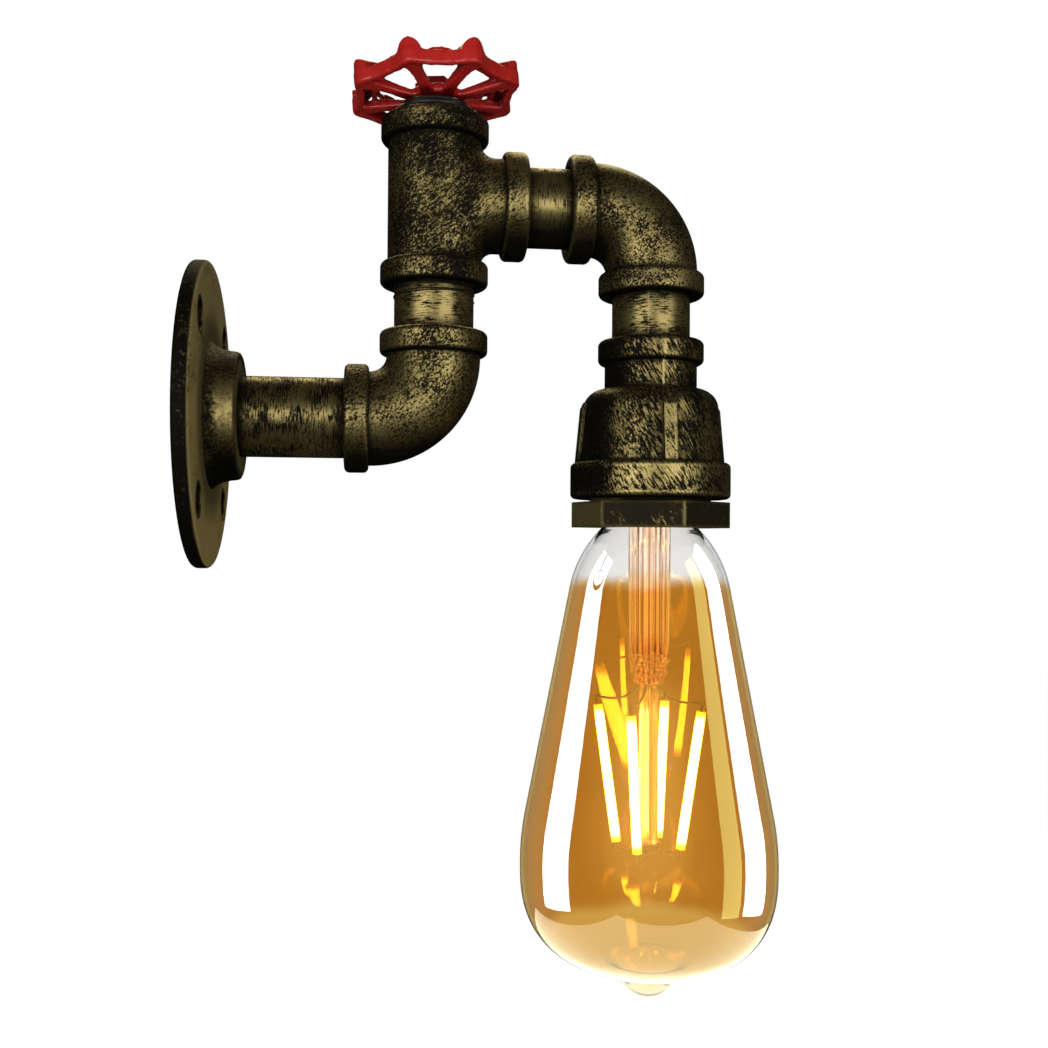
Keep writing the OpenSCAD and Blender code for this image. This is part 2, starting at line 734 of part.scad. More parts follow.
belly_z = -bulb_len + belly_h;
flank_centre = [bulb_d / 2 - flank_r, belly_z];
flank_end = flank_centre + flank_r * [cos(cone_angle), sin(cone_angle)];
shoulder_end = [flank_end[0] - (-shoulder_drop - flank_end[1]) * tan(cone_angle), -shoulder_drop];
shoulder_centre = shoulder_end - bulb_shoulder_r * [cos(cone_angle), sin(cone_angle)];
shoulder_stop = 46;
neck_in_cap = 6;
belly_steps = 18;
pip_steps = 10;
// Angle at which the rounded bottom reaches the foot of the pip
belly_stop = acos(pow((pip_d / 2 + pip_flare) / (bulb_d / 2), belly_full / 2));

// Point of the rounded bottom, from the widest place (0) to the middle (90), moved inwards by a wall
function belly_point(a, wall) = [
    (bulb_d / 2 - wall) * pow(cos(a), 2 / belly_full),
    belly_z - (belly_h - wall) * pow(sin(a), 2 / belly_full)
];

// Point of the pip, from its foot (0) to its tip (90)
function pip_point(a) = [
    pip_d / 2 * cos(a) + pip_flare * pow(1 - sin(a), 4),
    belly_point(belly_stop, 0)[1] - pip_h * sin(a)
];

// Outline of the glass from the neck to the bottom, moved inwards by a wall
function glass_outline(wall) = concat(
    [[bulb_neck_d / 2 - wall, neck_in_cap]],
    [[bulb_neck_d / 2 - wall, -1]],
    arc(shoulder_centre, bulb_shoulder_r - wall, shoulder_stop, cone_angle, 10),
    arc(flank_centre, flank_r - wall, cone_angle, 0, 6),
    [for (i = [1 : belly_steps]) belly_point(belly_stop * i / belly_steps, wall)]
);

module bulb_glass() {
    outer = concat(glass_outline(0), [for (i = [1 : pip_steps]) pip_point(90 * i / pip_steps)]);
    inner = concat(glass_outline(glass_t), [[0, -bulb_len + glass_t]]);
    color(amber) translate([drop_x, 0, cap_rim_z]) rotate_extrude()
        polygon(concat(outer, [for (i = [len(inner) - 1 : -1 : 0]) inner[i]]));
}

// Screw cap: a thin shell that the neck of the glass is cemented into
module bulb_cap() {
    color(brass) translate([drop_x, 0, cap_rim_z]) rotate_extrude() polygon([
        [cap_r - cap_t, 0], [cap_r, 0], [cap_r, cap_len], [cap_cone_r, cap_len + cap_cone_h],
        [cap_cone_r - 3, cap_len + cap_cone_h], [cap_cone_r - 3, cap_len + cap_cone_h - cap_top_t],
        [cap_cone_r - cap_t, cap_len + cap_cone_h - cap_top_t], [cap_r - cap_t, cap_len - cap_t]
    ]);
}

module bulb_insulator() {
    color(black_steel) translate([drop_x, 0, insulator_z])
        cylinder(r1 = cap_cone_r - 0.4, r2 = tip_r + 0.3, h = insulator_h);
}

module bulb_tip() {
    dome_r = 9;
    color(brass) translate([drop_x, 0, insulator_z + insulator_h]) intersection() {
        cylinder(r = tip_r, h = tip_h);
        translate([0, 0, tip_h - dome_r]) sphere(r = dome_r);
    }
}

// Glass mount: a flared tube that is pinched at its foot, with the thin tube inside it that the bulb
// was pumped through, and the rod that carries the filaments
module bulb_stem() {
    stem_r = stem_d / 2;
    wall = 0.8;
    flare_r = bulb_neck_d / 2 - glass_t - screw_clear;
    flare_z = neck_in_cap - 2;
    pinch_z = -stem_len + 8;
    pinch_r = stem_r * 0.72;
    rod_r = rod_d / 2;
    tube_out = 1.3;
    tube_in = 0.7;
    tube_top = flare_z + 4;
    color(clear_glass) translate([drop_x, 0, cap_rim_z]) rotate_extrude() polygon([
        [flare_r, flare_z], [flare_r, flare_z - wall], [stem_r + 1, flare_z - 5], [stem_r, flare_z - 8],
        [stem_r, pinch_z], [pinch_r, -stem_len], [rod_r, -stem_len - 1], [rod_r, rod_low_z], [0, rod_low_z],
        [0, pinch_z], [tube_in, pinch_z], [tube_in, tube_top], [tube_out, tube_top], [tube_out, pinch_z],
        [stem_r - wall, pinch_z], [stem_r - wall, flare_z - 8], [stem_r + 1 - wall, flare_z - 5],
        [flare_r - 2, flare_z - wall], [flare_r - 2, flare_z]
    ]);
}

// Filaments and their wires

filament_top_z = -stem_len - 7;
filament_drop = sqrt(pow(filament_len, 2) - pow(filament_top_r - filament_low_r, 2));
filament_low_z = filament_top_z - filament_drop;
rod_low_z = filament_low_z - 2;
arm_z = -stem_len - 2;
wire_r = wire_d / 2;
end_gap = 0.3;

module round_the_axis() {
    for (i = [0 : filament_count - 1])
        translate([drop_x, 0, cap_rim_z]) rotate([0, 0, filament_turn + i * 360 / filament_count]) children();
}

module led_filaments() {
    tilt = asin((filament_top_r - filament_low_r) / filament_len);
    color([1, 0.93, 0.75]) round_the_axis()
        translate([filament_low_r, 0, filament_low_z]) rotate([0, tilt, 0])
            cylinder(d = filament_d, h = filament_len);
}

// A wire that leaves the rod level and turns to the end of a filament
module support_wire(z, reach, end_z) {
    rod_r = rod_d / 2;
    start = rod_r + screw_clear;
    translate([start, 0, z]) towards_room() cylinder(r = wire_r, h = reach - start);
    translate([reach, 0, z]) sphere(r = wire_r);
    translate([reach, 0, min(z, end_z)]) cylinder(r = wire_r, h = abs(end_z - z));
}

module upper_wires() {
    color([0.75, 0.7, 0.62]) round_the_axis()
        support_wire(arm_z, filament_top_r, filament_top_z + filament_d / 2 + end_gap);
}

module lower_wires() {
    color([0.75, 0.7, 0.62]) round_the_axis()
        support_wire(rod_low_z + wire_r, filament_low_r, filament_low_z - end_gap);
}

// Driver board inside the cap, with the small parts that it carries
module bulb_driver() {
    board_t = 1.6;
    board_r = cap_r - cap_t - 1.3;
    board_z = neck_in_cap + 4;
    chip = [8, 4, 2.5];
    coil_r = 2.5;
    coil_h = 5;
    capacitor_r = 1.8;
    capacitor_h = 4;
    part_in = 4;
    color([0.16, 0.36, 0.2]) translate([drop_x, 0, cap_rim_z + board_z]) {
        cylinder(r = board_r, h = board_t);
        translate([-chip[0] / 2, -part_in - chip[1] / 2, board_t - tiny]) cube(chip);
        translate([part_in - 1, part_in, board_t - tiny]) cylinder(r = coil_r, h = coil_h);
        translate([-part_in, part_in, board_t - tiny]) cylinder(r = capacitor_r, h = capacitor_h);
    }
}

// Two wires from the driver board down the stem to its pinch
module lead_in_wires() {
    lead_in_r = 3.2;
    lead_in_turn = -13;
    low_z = -stem_len + 8;
    high_z = neck_in_cap + 4;
    color([0.75, 0.45, 0.25]) translate([drop_x, 0, cap_rim_z + low_z]) for (side = [0, 180])
        rotate([0, 0, lead_in_turn + side]) translate([lead_in_r, 0, 0])
            cylinder(r = wire_r, h = high_z - low_z);
}

wall_flange();
wall_nipple();
lower_elbow();
riser_nipple();
tee();
cross_nipple();
upper_elbow();
drop_nipple();
reducer();
lock_ring();
top_plug();
wheel_spindle();
valve_wheel();
wheel_washer();
wheel_nut();
lampholder_body();
lampholder_shell();
lampholder_contact();
terminal_screws();
cord_grip();
supply_lead();
bulb_glass();
bulb_cap();
bulb_insulator();
bulb_tip();
bulb_stem();
bulb_driver();
lead_in_wires();
led_filaments();
upper_wires();
lower_wires();
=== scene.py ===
# Pipe wall light: bronzed pipe and cast fittings on a wall flange, a red valve wheel and an amber bulb.
# Lengths are in metres, and in millimetres where an outline is turned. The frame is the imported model's own:
# +X leaves the wall and +Z is up.
import math

import bmesh
import bpy
from mathutils import Matrix, Vector


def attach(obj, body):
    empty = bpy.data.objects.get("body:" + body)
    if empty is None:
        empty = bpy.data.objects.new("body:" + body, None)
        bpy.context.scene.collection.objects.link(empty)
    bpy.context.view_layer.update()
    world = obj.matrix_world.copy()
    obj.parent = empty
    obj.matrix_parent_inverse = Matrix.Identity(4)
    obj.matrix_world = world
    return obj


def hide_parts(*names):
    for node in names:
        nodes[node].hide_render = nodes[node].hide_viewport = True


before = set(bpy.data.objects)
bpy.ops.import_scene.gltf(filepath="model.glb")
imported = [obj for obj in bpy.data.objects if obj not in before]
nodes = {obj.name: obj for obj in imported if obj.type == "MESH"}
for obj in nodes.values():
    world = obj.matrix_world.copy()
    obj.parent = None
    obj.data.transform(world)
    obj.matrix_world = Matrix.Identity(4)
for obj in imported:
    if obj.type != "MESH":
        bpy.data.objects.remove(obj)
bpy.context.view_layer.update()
scene = bpy.context.scene
scene.view_settings.view_transform = "Standard"

# Camera: level with the bell, left of the hanging bulb and close, so that the wheel is seen from
# below and the bulb from above. Its place and lens were solved from the pipe's outlines.
camera_at = Vector((0.0481, -0.3173, -0.0314))
camera_yaw, camera_pitch, camera_roll = (math.radians(a) for a in (6.95, 0.66, 0.39))
photo_px, focal_px, sensor_mm = 1048, 1181.2, 36.0
ahead = Vector((
    math.sin(camera_yaw) * math.cos(camera_pitch),
    math.cos(camera_yaw) * math.cos(camera_pitch),
    math.sin(camera_pitch),
))
level = Vector((math.cos(camera_yaw), -math.sin(camera_yaw), 0.0))
upright = level.cross(ahead)
to_right = level * math.cos(camera_roll) + upright * math.sin(camera_roll)
to_top = upright * math.cos(camera_roll) - level * math.sin(camera_roll)
camera_turn = Matrix((to_right, to_top, -ahead)).transposed().to_4x4()
camera_data = bpy.data.cameras.new("photo_camera")
camera_data.sensor_width = sensor_mm
camera_data.lens = sensor_mm * focal_px / photo_px
camera_data.clip_start = 0.01
camera = bpy.data.objects.new("photo_camera", camera_data)
camera.matrix_world = Matrix.Translation(camera_at) @ camera_turn
scene.collection.objects.link(camera)
scene.camera = camera


# Surroundings: a white sweep behind, a dim room on the camera's side, and a pale floor under the bulb.
# Two soft lamps stand left and right of the camera and a third high behind; two tall softboxes beside the
# bulb, a reflector and the lit table draw the streaks and the pale foot in its glass. The foot is also painted
# paler, a painted reflection.
def feed(tree, node, inputs):
    """Links sockets to a node or sets its values, by socket name or number."""
    for socket, value in inputs.items():
        if isinstance(value, bpy.types.NodeSocket):
            tree.links.new(value, node.inputs[socket])
        else:
            node.inputs[socket].default_value = value


def place(tree, kind, inputs=None, **settings):
    """Adds a node with these settings and feeds it."""
    node = tree.nodes.new(kind)
    for name, value in settings.items():
        setattr(node, name, value)
    feed(tree, node, inputs or {})
    return node


def math_node(tree, operation, a, b=0.0, clamp=False):
    return place(tree, "ShaderNodeMath", {0: a, 1: b}, operation=operation, use_clamp=clamp).outputs[0]


def times(tree, product, *others):
    for other in others:
        product = math_node(tree, "MULTIPLY", product, other)
    return product


def apart(tree, a, b):
    """How far two values lie apart, without a sign."""
    return math_node(tree, "ABSOLUTE", math_node(tree, "SUBTRACT", a, b))


def ramp(tree, value, low, high, to_low=0.0, to_high=1.0):
    """value from low..high onto to_low..to_high, smoothly and clamped."""
    return place(
        tree, "ShaderNodeMapRange",
        {"Value": value, "From Min": low, "From Max": high, "To Min": to_low, "To Max": to_high},
        interpolation_type="SMOOTHSTEP",
    ).outputs["Result"]


def coords(tree, kind="Object"):
    return place(tree, "ShaderNodeTexCoord").outputs[kind]


def parts_of(tree, vector):
    """The X, Y and Z of a vector."""
    return place(tree, "ShaderNodeSeparateXYZ", {0: vector}).outputs


walls_of_bulb, half_step = 4.0, 0.5


def by_ray(tree, plain, mirrored, seen):
    """One shader of three: for plain light, for what gloss mirrors, and for what is seen by the camera or
    through glass. What a mirrored ray sees after it went right through the bulb counts as mirrored."""
    path = place(tree, "ShaderNodeLightPath").outputs
    after_gloss = math_node(tree, "GREATER_THAN", path["Glossy Depth"], half_step)
    one_bulb = math_node(tree, "LESS_THAN", apart(tree, path["Transmission Depth"], walls_of_bulb), half_step)
    mirrored_through = times(tree, after_gloss, one_bulb)
    through = math_node(tree, "SUBTRACT", path["Is Transmission Ray"], mirrored_through, clamp=True)
    is_seen = math_node(tree, "MAXIMUM", path["Is Camera Ray"], through)
    is_gloss = math_node(tree, "SUBTRACT", path["Is Glossy Ray"], through, clamp=True)
    mixed = place(tree, "ShaderNodeMixShader", {0: is_gloss, 1: plain.outputs[0], 2: mirrored.outputs[0]})
    mixed = place(tree, "ShaderNodeMixShader", {0: is_seen, 1: mixed.outputs[0], 2: seen.outputs[0]})
    return mixed.outputs[0]


room_fill, room_dim, sweep_dim, sweep_starts = 0.07, 0.012, 0.03, (0.1, 0.8)
pure_white, warm_white = (1.0, 1.0, 1.0, 1.0), (1.0, 0.99, 0.97, 1.0)
sweep = bpy.data.worlds.new("white_sweep")
scene.world = sweep
sweep.use_nodes = True
sweep_tree = sweep.node_tree
sweep_tree.nodes.clear()
sweep_back = parts_of(sweep_tree, coords(sweep_tree, "Generated"))["Y"]
sweep_mirrored = ramp(sweep_tree, sweep_back, *sweep_starts, room_dim, sweep_dim)
sweep_surface = by_ray(
    sweep_tree,
    place(sweep_tree, "ShaderNodeBackground", {"Color": warm_white, "Strength": room_fill}),
    place(sweep_tree, "ShaderNodeBackground", {"Strength": sweep_mirrored}),
    place(sweep_tree, "ShaderNodeBackground", {"Color": pure_white, "Strength": 1.0}),
)
place(sweep_tree, "ShaderNodeOutputWorld", {"Surface": sweep_surface})

floor_z, floor_half, paper_light = -0.42, 3.0, 0.985
paper_pale, paper_grey = (0.9, 0.9, 0.9, 1.0), (0.2, 0.2, 0.2, 1.0)
floor_corners = [(x * floor_half, y * floor_half, floor_z) for x, y in ((-1, -1), (1, -1), (1, 1), (-1, 1))]
floor_mesh = bpy.data.meshes.new("pale_floor")
floor_mesh.from_pydata(floor_corners, [], [(0, 1, 2, 3)])
floor = bpy.data.objects.new("pale_floor", floor_mesh)
scene.collection.objects.link(floor)
floor_paper = bpy.data.materials.new("pale_paper")
floor_paper.use_nodes = True
floor_tree = floor_paper.node_tree
floor_tree.nodes.clear()
paper_faint = place(floor_tree, "ShaderNodeBsdfDiffuse", {"Color": paper_grey})
paper_white = place(floor_tree, "ShaderNodeEmission", {"Color": pure_white, "Strength": paper_light})
floor_surface = by_ray(
    floor_tree,
    place(floor_tree, "ShaderNodeBsdfDiffuse", {"Color": paper_pale}),
    place(floor_tree, "ShaderNodeEmission", {"Strength": room_dim}),
    place(floor_tree, "ShaderNodeAddShader", {0: paper_faint.outputs[0], 1: paper_white.outputs[0]}),
)
place(floor_tree, "ShaderNodeOutputMaterial", {"Surface": floor_surface})
floor_mesh.materials.append(floor_paper)

glass_only = bpy.data.collections.new("glass_only")
all_but_glass = bpy.data.collections.new("all_but_glass")


def hang_lamp(name, lit, at, towards, size, watts, colour=(1.0, 1.0, 1.0)):
    """An area lamp that lights only what the collection allows."""
    data = bpy.data.lights.new(name, "AREA")
    data.shape = "RECTANGLE"
    data.size, data.size_y = size
    data.energy, data.color = watts, colour
    lamp = bpy.data.objects.new(name, data)
    facing = (Vector(towards) - Vector(at)).to_track_quat("-Z", "Y").to_matrix().to_4x4()
    lamp.matrix_world = Matrix.Translation(at) @ facing
    lamp.visible_camera = lamp.visible_transmission = False
    lamp.light_linking.receiver_collection = lit
    scene.collection.objects.link(lamp)


pipes_middle, bulb_middle = (0.085, 0.0, 0.01), (0.1215, 0.0, 0.0)
table_middle, over_table = (0.1215, -0.05, -0.41), (0.1215, -0.05, 0.0)
khaki_light, lemon_light, cream_light = (1.0, 0.86, 0.50), (0.95, 1.0, 0.30), (1.0, 0.91, 0.66)
hang_lamp("left_lamp", all_but_glass, (-0.335, -0.622, 0.03), pipes_middle, (0.64, 0.34), 3.0)
hang_lamp("right_lamp", all_but_glass, (0.455, -0.652, 0.03), pipes_middle, (0.60, 0.34), 2.5)
hang_lamp("back_lamp", all_but_glass, (0.085, 0.50, 0.55), pipes_middle, (0.60, 0.30), 1.5, khaki_light)
hang_lamp("left_softbox", glass_only, (-0.2745, 0.056, 0.0), bulb_middle, (0.225, 0.60), 8.2)
hang_lamp("right_softbox", glass_only, (0.5210, 0.004, 0.0), bulb_middle, (0.215, 0.60), 7.8)
hang_lamp("right_reflector", glass_only, (0.473, -0.191, 0.0), bulb_middle, (0.134, 0.60), 1.5, lemon_light)
hang_lamp("table_glow", glass_only, table_middle, over_table, (0.90, 1.0), 9.0, cream_light)


# Cast fittings: flange, elbows and tee of malleable iron, painted near-black brown and then dry-brushed
# with khaki gold, which catches on the grain of the casting and on every edge that stands out.
def finish(name):
    """A new material: its tree and its Principled shader."""
    material = bpy.data.materials.new(name)
    material.use_nodes = True
    return material, material.node_tree, material.node_tree.nodes["Principled BSDF"]


def effect(name, inputs, outputs):
    """A new shader group, its inputs and its output node. An input is a number, or None for a place."""
    tree = bpy.data.node_groups.new(name, "ShaderNodeTree")
    for label, default in inputs.items():
        kind = "NodeSocketVector" if default is None else "NodeSocketFloat"
        socket = tree.interface.new_socket(label, in_out="INPUT", socket_type=kind)
        if default is not None:
            socket.default_value = default
    for label, kind in outputs.items():
        tree.interface.new_socket(label, in_out="OUTPUT", socket_type=kind)
    return tree, tree.nodes.new("NodeGroupInput").outputs, tree.nodes.new("NodeGroupOutput")


def mix_colours(tree, share, a, b):
    mixed = place(tree, "ShaderNodeMix", {0: share, 6: a, 7: b}, data_type="RGBA", clamp_factor=True)
    return mixed.outputs[2]


def mix_values(tree, share, a, b):
    return place(tree, "ShaderNodeMix", {"Factor": share, 2: a, 3: b}, data_type="FLOAT").outputs[0]


def noise(tree, here, scale, detail=3.0, roughness=0.55):
    return place(
        tree, "ShaderNodeTexNoise", {"Vector": here, "Scale": scale, "Detail": detail, "Roughness": roughness}
    ).outputs[0]


# Dry brush, shared by every bronzed piece: gold left on the high spots of a fine grain, dragged into
# strokes and laid on in patches. It gives the mask of the gold and the height of the grain.
brush_low, brush_high = -0.06, 0.145
dry_brush, brush_in, brush_out = effect(
    "dry_brush",
    {
        "Place": None, "Strokes": None, "Grain": 1300.0, "Stroke": 900.0, "Patch": 90.0, "Drag": 0.3,
        "Patchy": 0.26, "Hard": 1.0, "Cover": 0.0,
    },
    {"Gold": "NodeSocketFloat", "Grain Height": "NodeSocketFloat"},
)
brush_grain = noise(dry_brush, brush_in["Place"], brush_in["Grain"], 4.0, 0.62)
brush_stroke = noise(dry_brush, brush_in["Strokes"], brush_in["Stroke"], 4.0, 0.6)
brush_patch = noise(dry_brush, brush_in["Place"], brush_in["Patch"], 3.0, 0.55)
brush_fine = mix_values(dry_brush, brush_in["Drag"], brush_grain, brush_stroke)
brush_sum = mix_values(dry_brush, brush_in["Patchy"], brush_fine, brush_patch)
brush_sum = times(dry_brush, math_node(dry_brush, "SUBTRACT", brush_sum, 0.5), brush_in["Hard"])
brush_sum = math_node(dry_brush, "ADD", brush_sum, brush_in["Cover"])
brush_gold = ramp(dry_brush, brush_sum, brush_low, brush_high)
feed(dry_brush, brush_out, {"Gold": brush_gold, "Grain Height": brush_fine})

# Edge rub, shared too: 1 on edges that stand out, a mask that is 0 deep in corners, and a normal that rounds the
# edges off. The corner mask is partly painted shade and partly the brush missing hollows.
rub_samples, corner_reach, corner_shade, edge_turn = 6, 0.0045, (0.50, 0.95), (0.004, 0.09)
edge_rub, rub_in, rub_out = effect(
    "edge_rub", {"Width": 0.00045},
    {"Edge": "NodeSocketFloat", "Open": "NodeSocketFloat", "Rounded": "NodeSocketVector"},
)
rub_round = place(edge_rub, "ShaderNodeBevel", {"Radius": rub_in["Width"]}, samples=rub_samples).outputs[0]
rub_flat = place(edge_rub, "ShaderNodeNewGeometry").outputs["Normal"]
rub_dot = place(edge_rub, "ShaderNodeVectorMath", {0: rub_round, 1: rub_flat}, operation="DOT_PRODUCT")
rub_bend = math_node(edge_rub, "SUBTRACT", 1.0, rub_dot.outputs["Value"])
# Painted shade in part: occlusion keeps the gold out of deep corners, which the brush also misses.
rub_corner_occlusion = place(edge_rub, "ShaderNodeAmbientOcclusion", {"Distance": corner_reach}, samples=rub_samples)
rub_unshaded = ramp(edge_rub, rub_corner_occlusion.outputs["AO"], *corner_shade)
rub_edge = times(edge_rub, ramp(edge_rub, rub_bend, *edge_turn), rub_unshaded)
feed(edge_rub, rub_out, {"Edge": rub_edge, "Open": rub_unshaded, "Rounded": rub_round})

brown_black = (0.0035, 0.0030, 0.0015, 1.0)
dull_olive = (0.066, 0.052, 0.019, 1.0)
khaki_gold = (0.31, 0.242, 0.092, 1.0)
paint_rough, paint_shine, gold_metal, grain_depth, underside_shade = 0.60, 0.06, 0.9, 0.0006, (-0.80, -0.30)
olive_at, khaki_at, metal_at = (0.05, 0.6), (0.40, 1.0), (0.0, 0.6)


def bronzed(
    name, turn=(0.0, 0.0, 0.0), stretch=(1.0, 1.0, 1.0), edge=0.8, bump=0.4, extra=None, under=brown_black,
    sheen=0.50, below=0.12, rub_width=0.00045, **brushing
):
    """Brown paint with dry-brushed gold. The strokes are turned, and long where stretch is small; edge is
    the gold on edges, and below the share of gold that reaches what faces down, a painted shade. A rule takes
    the tree and the place: extra gives a mask of more gold, and under and each brushing value may be one too."""
    material, tree, shader = finish(name)
    here = coords(tree)
    turned = place(tree, "ShaderNodeMapping", {"Vector": here, "Rotation": turn}).outputs[0]
    strokes = place(tree, "ShaderNodeMapping", {"Vector": turned, "Scale": stretch}).outputs[0]
    laid = {label: value(tree, here) if callable(value) else value for label, value in brushing.items()}
    laid.update({"Place": here, "Strokes": strokes})
    brush = place(tree, "ShaderNodeGroup", laid, node_tree=dry_brush).outputs
    rub = place(tree, "ShaderNodeGroup", {"Width": rub_width}, node_tree=edge_rub).outputs
    gold = math_node(tree, "ADD", brush["Gold"], times(tree, rub["Edge"], edge), clamp=True)
    # Painted shade: what faces down keeps only the share below of its gold.
    facing_up = parts_of(tree, coords(tree, "Normal"))["Z"]
    gold = times(tree, gold, rub["Open"], ramp(tree, facing_up, *underside_shade, below, 1.0))
    if extra:
        gold = math_node(tree, "ADD", gold, extra(tree, here), clamp=True)
    under = under(tree, here) if callable(under) else under
    colour = mix_colours(tree, ramp(tree, gold, *olive_at), under, dull_olive)
    colour = mix_colours(tree, ramp(tree, gold, *khaki_at), colour, khaki_gold)
    dents = place(tree, "ShaderNodeBump", {
        "Strength": bump, "Distance": grain_depth, "Height": brush["Grain Height"], "Normal": rub["Rounded"],
    })
    feed(tree, shader, {
        "Base Color": colour,
        "Roughness": ramp(tree, gold, 0.0, 1.0, paint_rough, sheen),
        "Metallic": ramp(tree, gold, *metal_at, 0.0, gold_metal),
        "Specular IOR Level": paint_shine,
        "Normal": dents.outputs[0],
    })
    return material


def dress(material, *names):
    for name in names:
        nodes[name].data.materials.clear()
        nodes[name].data.materials.append(material)
        for face in nodes[name].data.polygons:
            face.material_index = 0


def smooth(mesh, angle=40.0):
    mesh.polygons.foreach_set("use_smooth", [True] * len(mesh.polygons))
    mesh.set_sharp_from_angle(angle=math.radians(angle))


def add_piece(name, mesh, body, slot, *replaced):
    """Puts a finished mesh into the scene, on its body, in place of the CAD nodes named."""
    piece = bpy.data.objects.new(name, mesh)
    scene.collection.objects.link(piece)
    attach(piece, body)
    if replaced:
        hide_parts(*replaced)
    return piece


casting_paint = bronzed(
    "bronzed_casting", turn=(0.0, math.radians(45.0), 0.0), stretch=(0.35, 1.0, 1.0), bump=0.28, sheen=0.33,
    Grain=1900.0, Stroke=1900.0, Drag=0.4, Patchy=0.24, Hard=1.3, Cover=0.06,
)
dress(casting_paint, "lower_elbow", "upper_elbow")

riser_x, tee_z = 0.062, 0.058
run_cover, branch_most, branch_starts = 0.005, 0.085, (riser_x + 0.006, riser_x + 0.016)
ridge_width, ridge_gold, ridge_starts, ridge_ends = (0.0004, 0.0016), 0.5, (0.0005, 0.0030), (0.0080, 0.0120)
ridge_speckle, ridge_speckle_at = (1500.0, 4.0, 0.6), (0.40, 0.58)


def branch_cover(tree, here):
    """More gold on the branch of the tee than on its run."""
    return ramp(tree, parts_of(tree, here)["X"], *branch_starts, run_cover, branch_most)


def branch_ridges(tree, here):
    """Gold on the two ridges where the branch of the tee leaves its run."""
    parts = parts_of(tree, here)
    out = math_node(tree, "SUBTRACT", parts["X"], riser_x)
    off = apart(tree, out, apart(tree, parts["Z"], tee_z))
    ridge = times(tree, ramp(tree, off, *ridge_width, ridge_gold, 0.0), ramp(tree, out, *ridge_starts))
    speckle = ramp(tree, noise(tree, here, *ridge_speckle), *ridge_speckle_at)
    return times(tree, ridge, ramp(tree, out, *ridge_ends, 1.0, 0.0), speckle)


tee_paint = bronzed(
    "bronzed_tee", turn=(0.0, math.radians(40.0), 0.0), stretch=(0.25, 1.0, 1.0), bump=0.28, sheen=0.34,
    extra=branch_ridges, Grain=2000.0, Stroke=2000.0, Drag=0.5, Hard=1.3, Cover=branch_cover,
)
dress(tee_paint, "tee")

hole_ring, hole_shade, hole_soft, olive_shade_spread = 0.032, 0.0052, 0.0008, (0.0215, 0.0310)
olive_shaded_by_hub, olive_outside, face_turn = (0.085, 0.069, 0.027, 1.0), (0.240, 0.195, 0.075, 1.0), (0.4, 0.9)


def face_only(tree, here):
    """Olive on the plate's face, darkened towards the hub as painted shade; black on its rim, and a ring of
    painted shade round each of the four screw holes.
    """
    parts = parts_of(tree, here)
    facing = parts_of(tree, coords(tree, "Normal"))["X"]
    off = [
        math_node(tree, "SUBTRACT", math_node(tree, "ABSOLUTE", parts[axis]), hole_ring * math.sqrt(0.5))
        for axis in ("Y", "Z")
    ]
    far = math_node(tree, "ADD", times(tree, off[0], off[0]), times(tree, off[1], off[1]))
    far = math_node(tree, "SQRT", far)
    face = times(tree, ramp(tree, facing, *face_turn), ramp(tree, far, hole_shade - hole_soft, hole_shade))
    flat = place(tree, "ShaderNodeCombineXYZ", {"Y": parts["Y"], "Z": parts["Z"]}).outputs[0]
    out = place(tree, "ShaderNodeVectorMath", {0: flat}, operation="LENGTH").outputs["Value"]
    olive = mix_colours(tree, ramp(tree, out, *olive_shade_spread), olive_shaded_by_hub, olive_outside)
    return mix_colours(tree, face, brown_black, olive)


flange_paint = bronzed(
    "bronzed_flange", edge=1.0, bump=0.3, under=face_only,
    Grain=800.0, Stroke=900.0, Drag=0.3, Hard=1.1, Cover=-0.070,
)
dress(flange_paint, "wall_flange")

# Hub skirt: the flare of iron from the flange's plate up to its hub, cast in one with both, and painted
# like them. Extra gold on its sides is a painted highlight.
skirt_outline = (
    (4.0, 15.0), (4.0, 19.4), (4.6, 18.9), (5.6, 18.1), (7.2, 17.4),
    (9.0, 17.0), (10.8, 16.8), (11.4, 16.5), (11.7, 15.9), (11.7, 15.0),
)
skirt_steps, highlight_gold, highlight_height, highlight_starts = 96, 0.6, (0.005, 0.011), (0.0055, 0.0085)


def hub_painted_highlight(tree, here):
    """More gold on the hub's sides, level with its axis: a painted highlight."""
    parts = parts_of(tree, here)
    height = math_node(tree, "ABSOLUTE", parts["Z"])
    return times(
        tree, ramp(tree, height, *highlight_height, highlight_gold, 0.0), ramp(tree, parts["X"], *highlight_starts)
    )


skirt_shell = bmesh.new()
skirt_rim = [skirt_shell.verts.new((x / 1000.0, 0.0, r / 1000.0)) for x, r in skirt_outline]
skirt_edges = [skirt_shell.edges.new(pair) for pair in zip(skirt_rim, skirt_rim[1:] + skirt_rim[:1])]
bmesh.ops.spin(
    skirt_shell, geom=skirt_rim + skirt_edges, cent=(0.0, 0.0, 0.0), axis=(1.0, 0.0, 0.0),
    angle=math.tau, steps=skirt_steps, use_merge=True,
)
bmesh.ops.recalc_face_normals(skirt_shell, faces=skirt_shell.faces)
skirt_mesh = bpy.data.meshes.new("hub_skirt")
skirt_shell.to_mesh(skirt_mesh)
skirt_shell.free()
smooth(skirt_mesh)
skirt_paint = bronzed(
    "bronzed_hub", edge=0.5, bump=0.1, sheen=0.40, extra=hub_painted_highlight,
    Grain=1300.0, Stroke=900.0, Drag=0.3, Hard=0.5, Cover=0.02,
)
skirt_mesh.materials.append(skirt_paint)
add_piece("hub_skirt", skirt_mesh, "pipework", "bronzed_casting")

# Pipe nipples: short lengths of half-inch steel pipe with a weld seam, threaded at both ends and screwed
# into the fittings. The same paint was rubbed round the pipe, so its strokes run round it.
drop_x = 0.1215
seam_half, seam_gold, seam_near = 0.00028, 0.25, (-0.004, -0.002)


